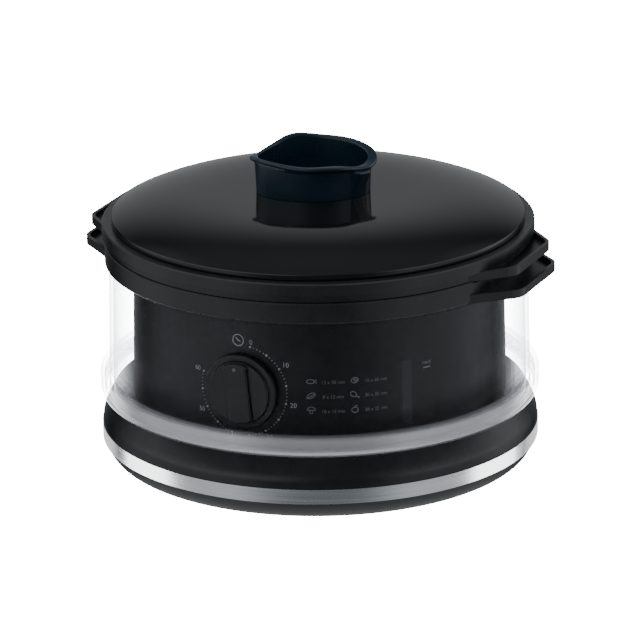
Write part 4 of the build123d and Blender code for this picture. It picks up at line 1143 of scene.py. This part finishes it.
class STEAMER_OT_handle(bpy.types.Operator):
    """Open oval cup on the lid, with a rounded, waved lip that runs out into a point"""

    bl_idname = "steamer.handle"
    bl_label = "Lid handle"

    def execute(self, context):
        tree = solid_tree("lid_handle")
        foot = low("lid_handle")[2]
        floor = foot + sizes().wall
        middle = middle_of(screw_vertices())
        angles = [TURN * step / CUP_SEGMENTS for step in range(CUP_SEGMENTS)]
        sections = [self.section(tree, middle, angle, foot, floor) for angle in angles]
        rings = [list(ring) for ring in zip(*sections)]
        for ring in rings:
            self.relax(ring)
        cup = skin("handle", rings)
        for screw in screw_places():
            self.add_boss(cup, screw, foot, floor)
        smooth(cup, 45)
        satin = moulded("handle_satin", colours().handle, 0.22, relief=0.001)
        place(cup, satin, "lid", "handle_navy", "lid_handle")
        return {"FINISHED"}

    def add_boss(self, cup, screw, foot, floor):
        """A round boss on the cup's floor, bored for a screw."""
        bottom, top = floor - 1 * MM, foot + BOSS_TOP
        outline = [(0, bottom, 0), (BOSS_RADIUS, bottom, 0), (BOSS_RADIUS, top, 0.5 * MM), (0, top, 0)]
        boss = lathe("boss", rounded(outline), 64)
        boss.data.transform(Matrix.Translation((screw.x, screw.y, 0)))
        combine(cup, boss, "UNION")
        combine(cup, pin("bore", screw, SCREW_BORE, foot - 5 * MM, top - 1 * MM), "DIFFERENCE")

    def section(self, tree, middle, angle, foot, floor):
        """The wall's outline in one direction from the cup's middle, read off the CAD solid."""
        aim = Vector((cos(angle), sin(angle), 0))

        def outside(height):
            """Distance of the outer face from the cup's middle."""
            start = Vector((middle.x, middle.y, height)) + aim * FAR_OUT
            return (probe(tree, start, -aim) - middle).to_2d().length

        def inside(height):
            """Distance of the inner face from the cup's middle."""
            start = Vector((middle.x, middle.y, height))
            return (probe(tree, start, aim) - middle).to_2d().length

        body_low = outside(foot + BODY_LOW)
        hollow_low = inside(foot + HOLLOW_LOW)
        hollow_high = inside(foot + HOLLOW_HIGH)
        over_wall = Vector((middle.x, middle.y, foot + HIGH_UP)) + aim * (hollow_high + 1.0 * MM)
        rim = probe(tree, over_wall, (0, 0, -1)).z
        lip = outside(rim - 1.2 * MM)
        grow = (outside(foot + BODY_HIGH) - body_low) / (BODY_HIGH - BODY_LOW)
        body_rim = body_low + grow * (rim - foot)
        hollow_grow = (hollow_high - hollow_low) / (HOLLOW_HIGH - HOLLOW_LOW)
        hollow_rim = hollow_low + hollow_grow * (rim - foot - HOLLOW_LOW)
        edge = LIP_ROUNDING
        outline = [(body_low - 0.3 * MM, foot), (body_low, foot + 0.3 * MM)]
        outline += [(body_low + grow * WAIST, foot + WAIST)]
        outline += [(body_rim + share * (lip - body_rim), rim - depth) for share, depth in FLARE]
        outline += [
            (lip - 0.5 * edge, rim - 2.5 * MM), (lip, rim - 1.9 * MM), (lip, rim - edge),
            (lip - 0.3 * edge, rim - 0.3 * edge), (lip - edge, rim), (hollow_rim + edge, rim),
            (hollow_rim + 0.3 * edge, rim - 0.3 * edge), (hollow_rim, rim - edge),
            (hollow_rim - 0.05 * MM, rim - 2 * MM), (hollow_low, floor + 3 * MM),
            (hollow_low - 0.6 * MM, floor + 0.6 * MM), (hollow_low - 3 * MM, floor),
        ]
        return [middle.xy.to_3d() + aim * out + Vector((0, 0, up)) for out, up in outline]

    def relax(self, ring, rounds=3):
        """Even out the small steps of the CAD mesh along a ring."""
        for _ in range(rounds):
            before = [point.copy() for point in ring]
            for index, point in enumerate(before):
                ring[index] = (before[index - 1] + 2 * point + before[(index + 1) % len(before)]) / 4


# ---------------------------------------------------------------- panel
class STEAMER_PT_panel(bpy.types.Panel):
    """Lists the steamer's settings and pieces in the sidebar"""

    bl_label = "Food steamer"
    bl_idname = "STEAMER_PT_panel"
    bl_space_type = "VIEW_3D"
    bl_region_type = "UI"
    bl_category = "Steamer"

    def draw(self, context):
        for group in SETTINGS:
            settings = getattr(context.scene, group)
            box = self.layout.box()
            for key in settings.__annotations__:
                box.prop(settings, key)
        for operator in OPERATORS:
            self.layout.operator(operator.bl_idname)


OPERATORS = (
    STEAMER_OT_stage,
    STEAMER_OT_inner_parts,
    STEAMER_OT_base,
    STEAMER_OT_knob,
    STEAMER_OT_dial,
    STEAMER_OT_table,
    STEAMER_OT_bowl,
    STEAMER_OT_trays,
    STEAMER_OT_lid,
    STEAMER_OT_handle,
)
SETTINGS = {"steamer_colours": SteamerColours, "steamer_sizes": SteamerSizes, "steamer_stage": StageSettings}


def register():
    """Register the settings, the operators and the panel."""
    for name, group in SETTINGS.items():
        bpy.utils.register_class(group)
        setattr(bpy.types.Scene, name, bpy.props.PointerProperty(type=group))
    for operator in OPERATORS:
        bpy.utils.register_class(operator)
    bpy.utils.register_class(STEAMER_PT_panel)


def unregister():
    """Undo register."""
    bpy.utils.unregister_class(STEAMER_PT_panel)
    for operator in reversed(OPERATORS):
        bpy.utils.unregister_class(operator)
    for name, group in SETTINGS.items():
        delattr(bpy.types.Scene, name)
        bpy.utils.unregister_class(group)


def main():
    """Dress the frame piece by piece."""
    register()
    for operator in OPERATORS:
        section, name = operator.bl_idname.split(".")
        getattr(getattr(bpy.ops, section), name)()


if __name__ == "__main__":
    main()
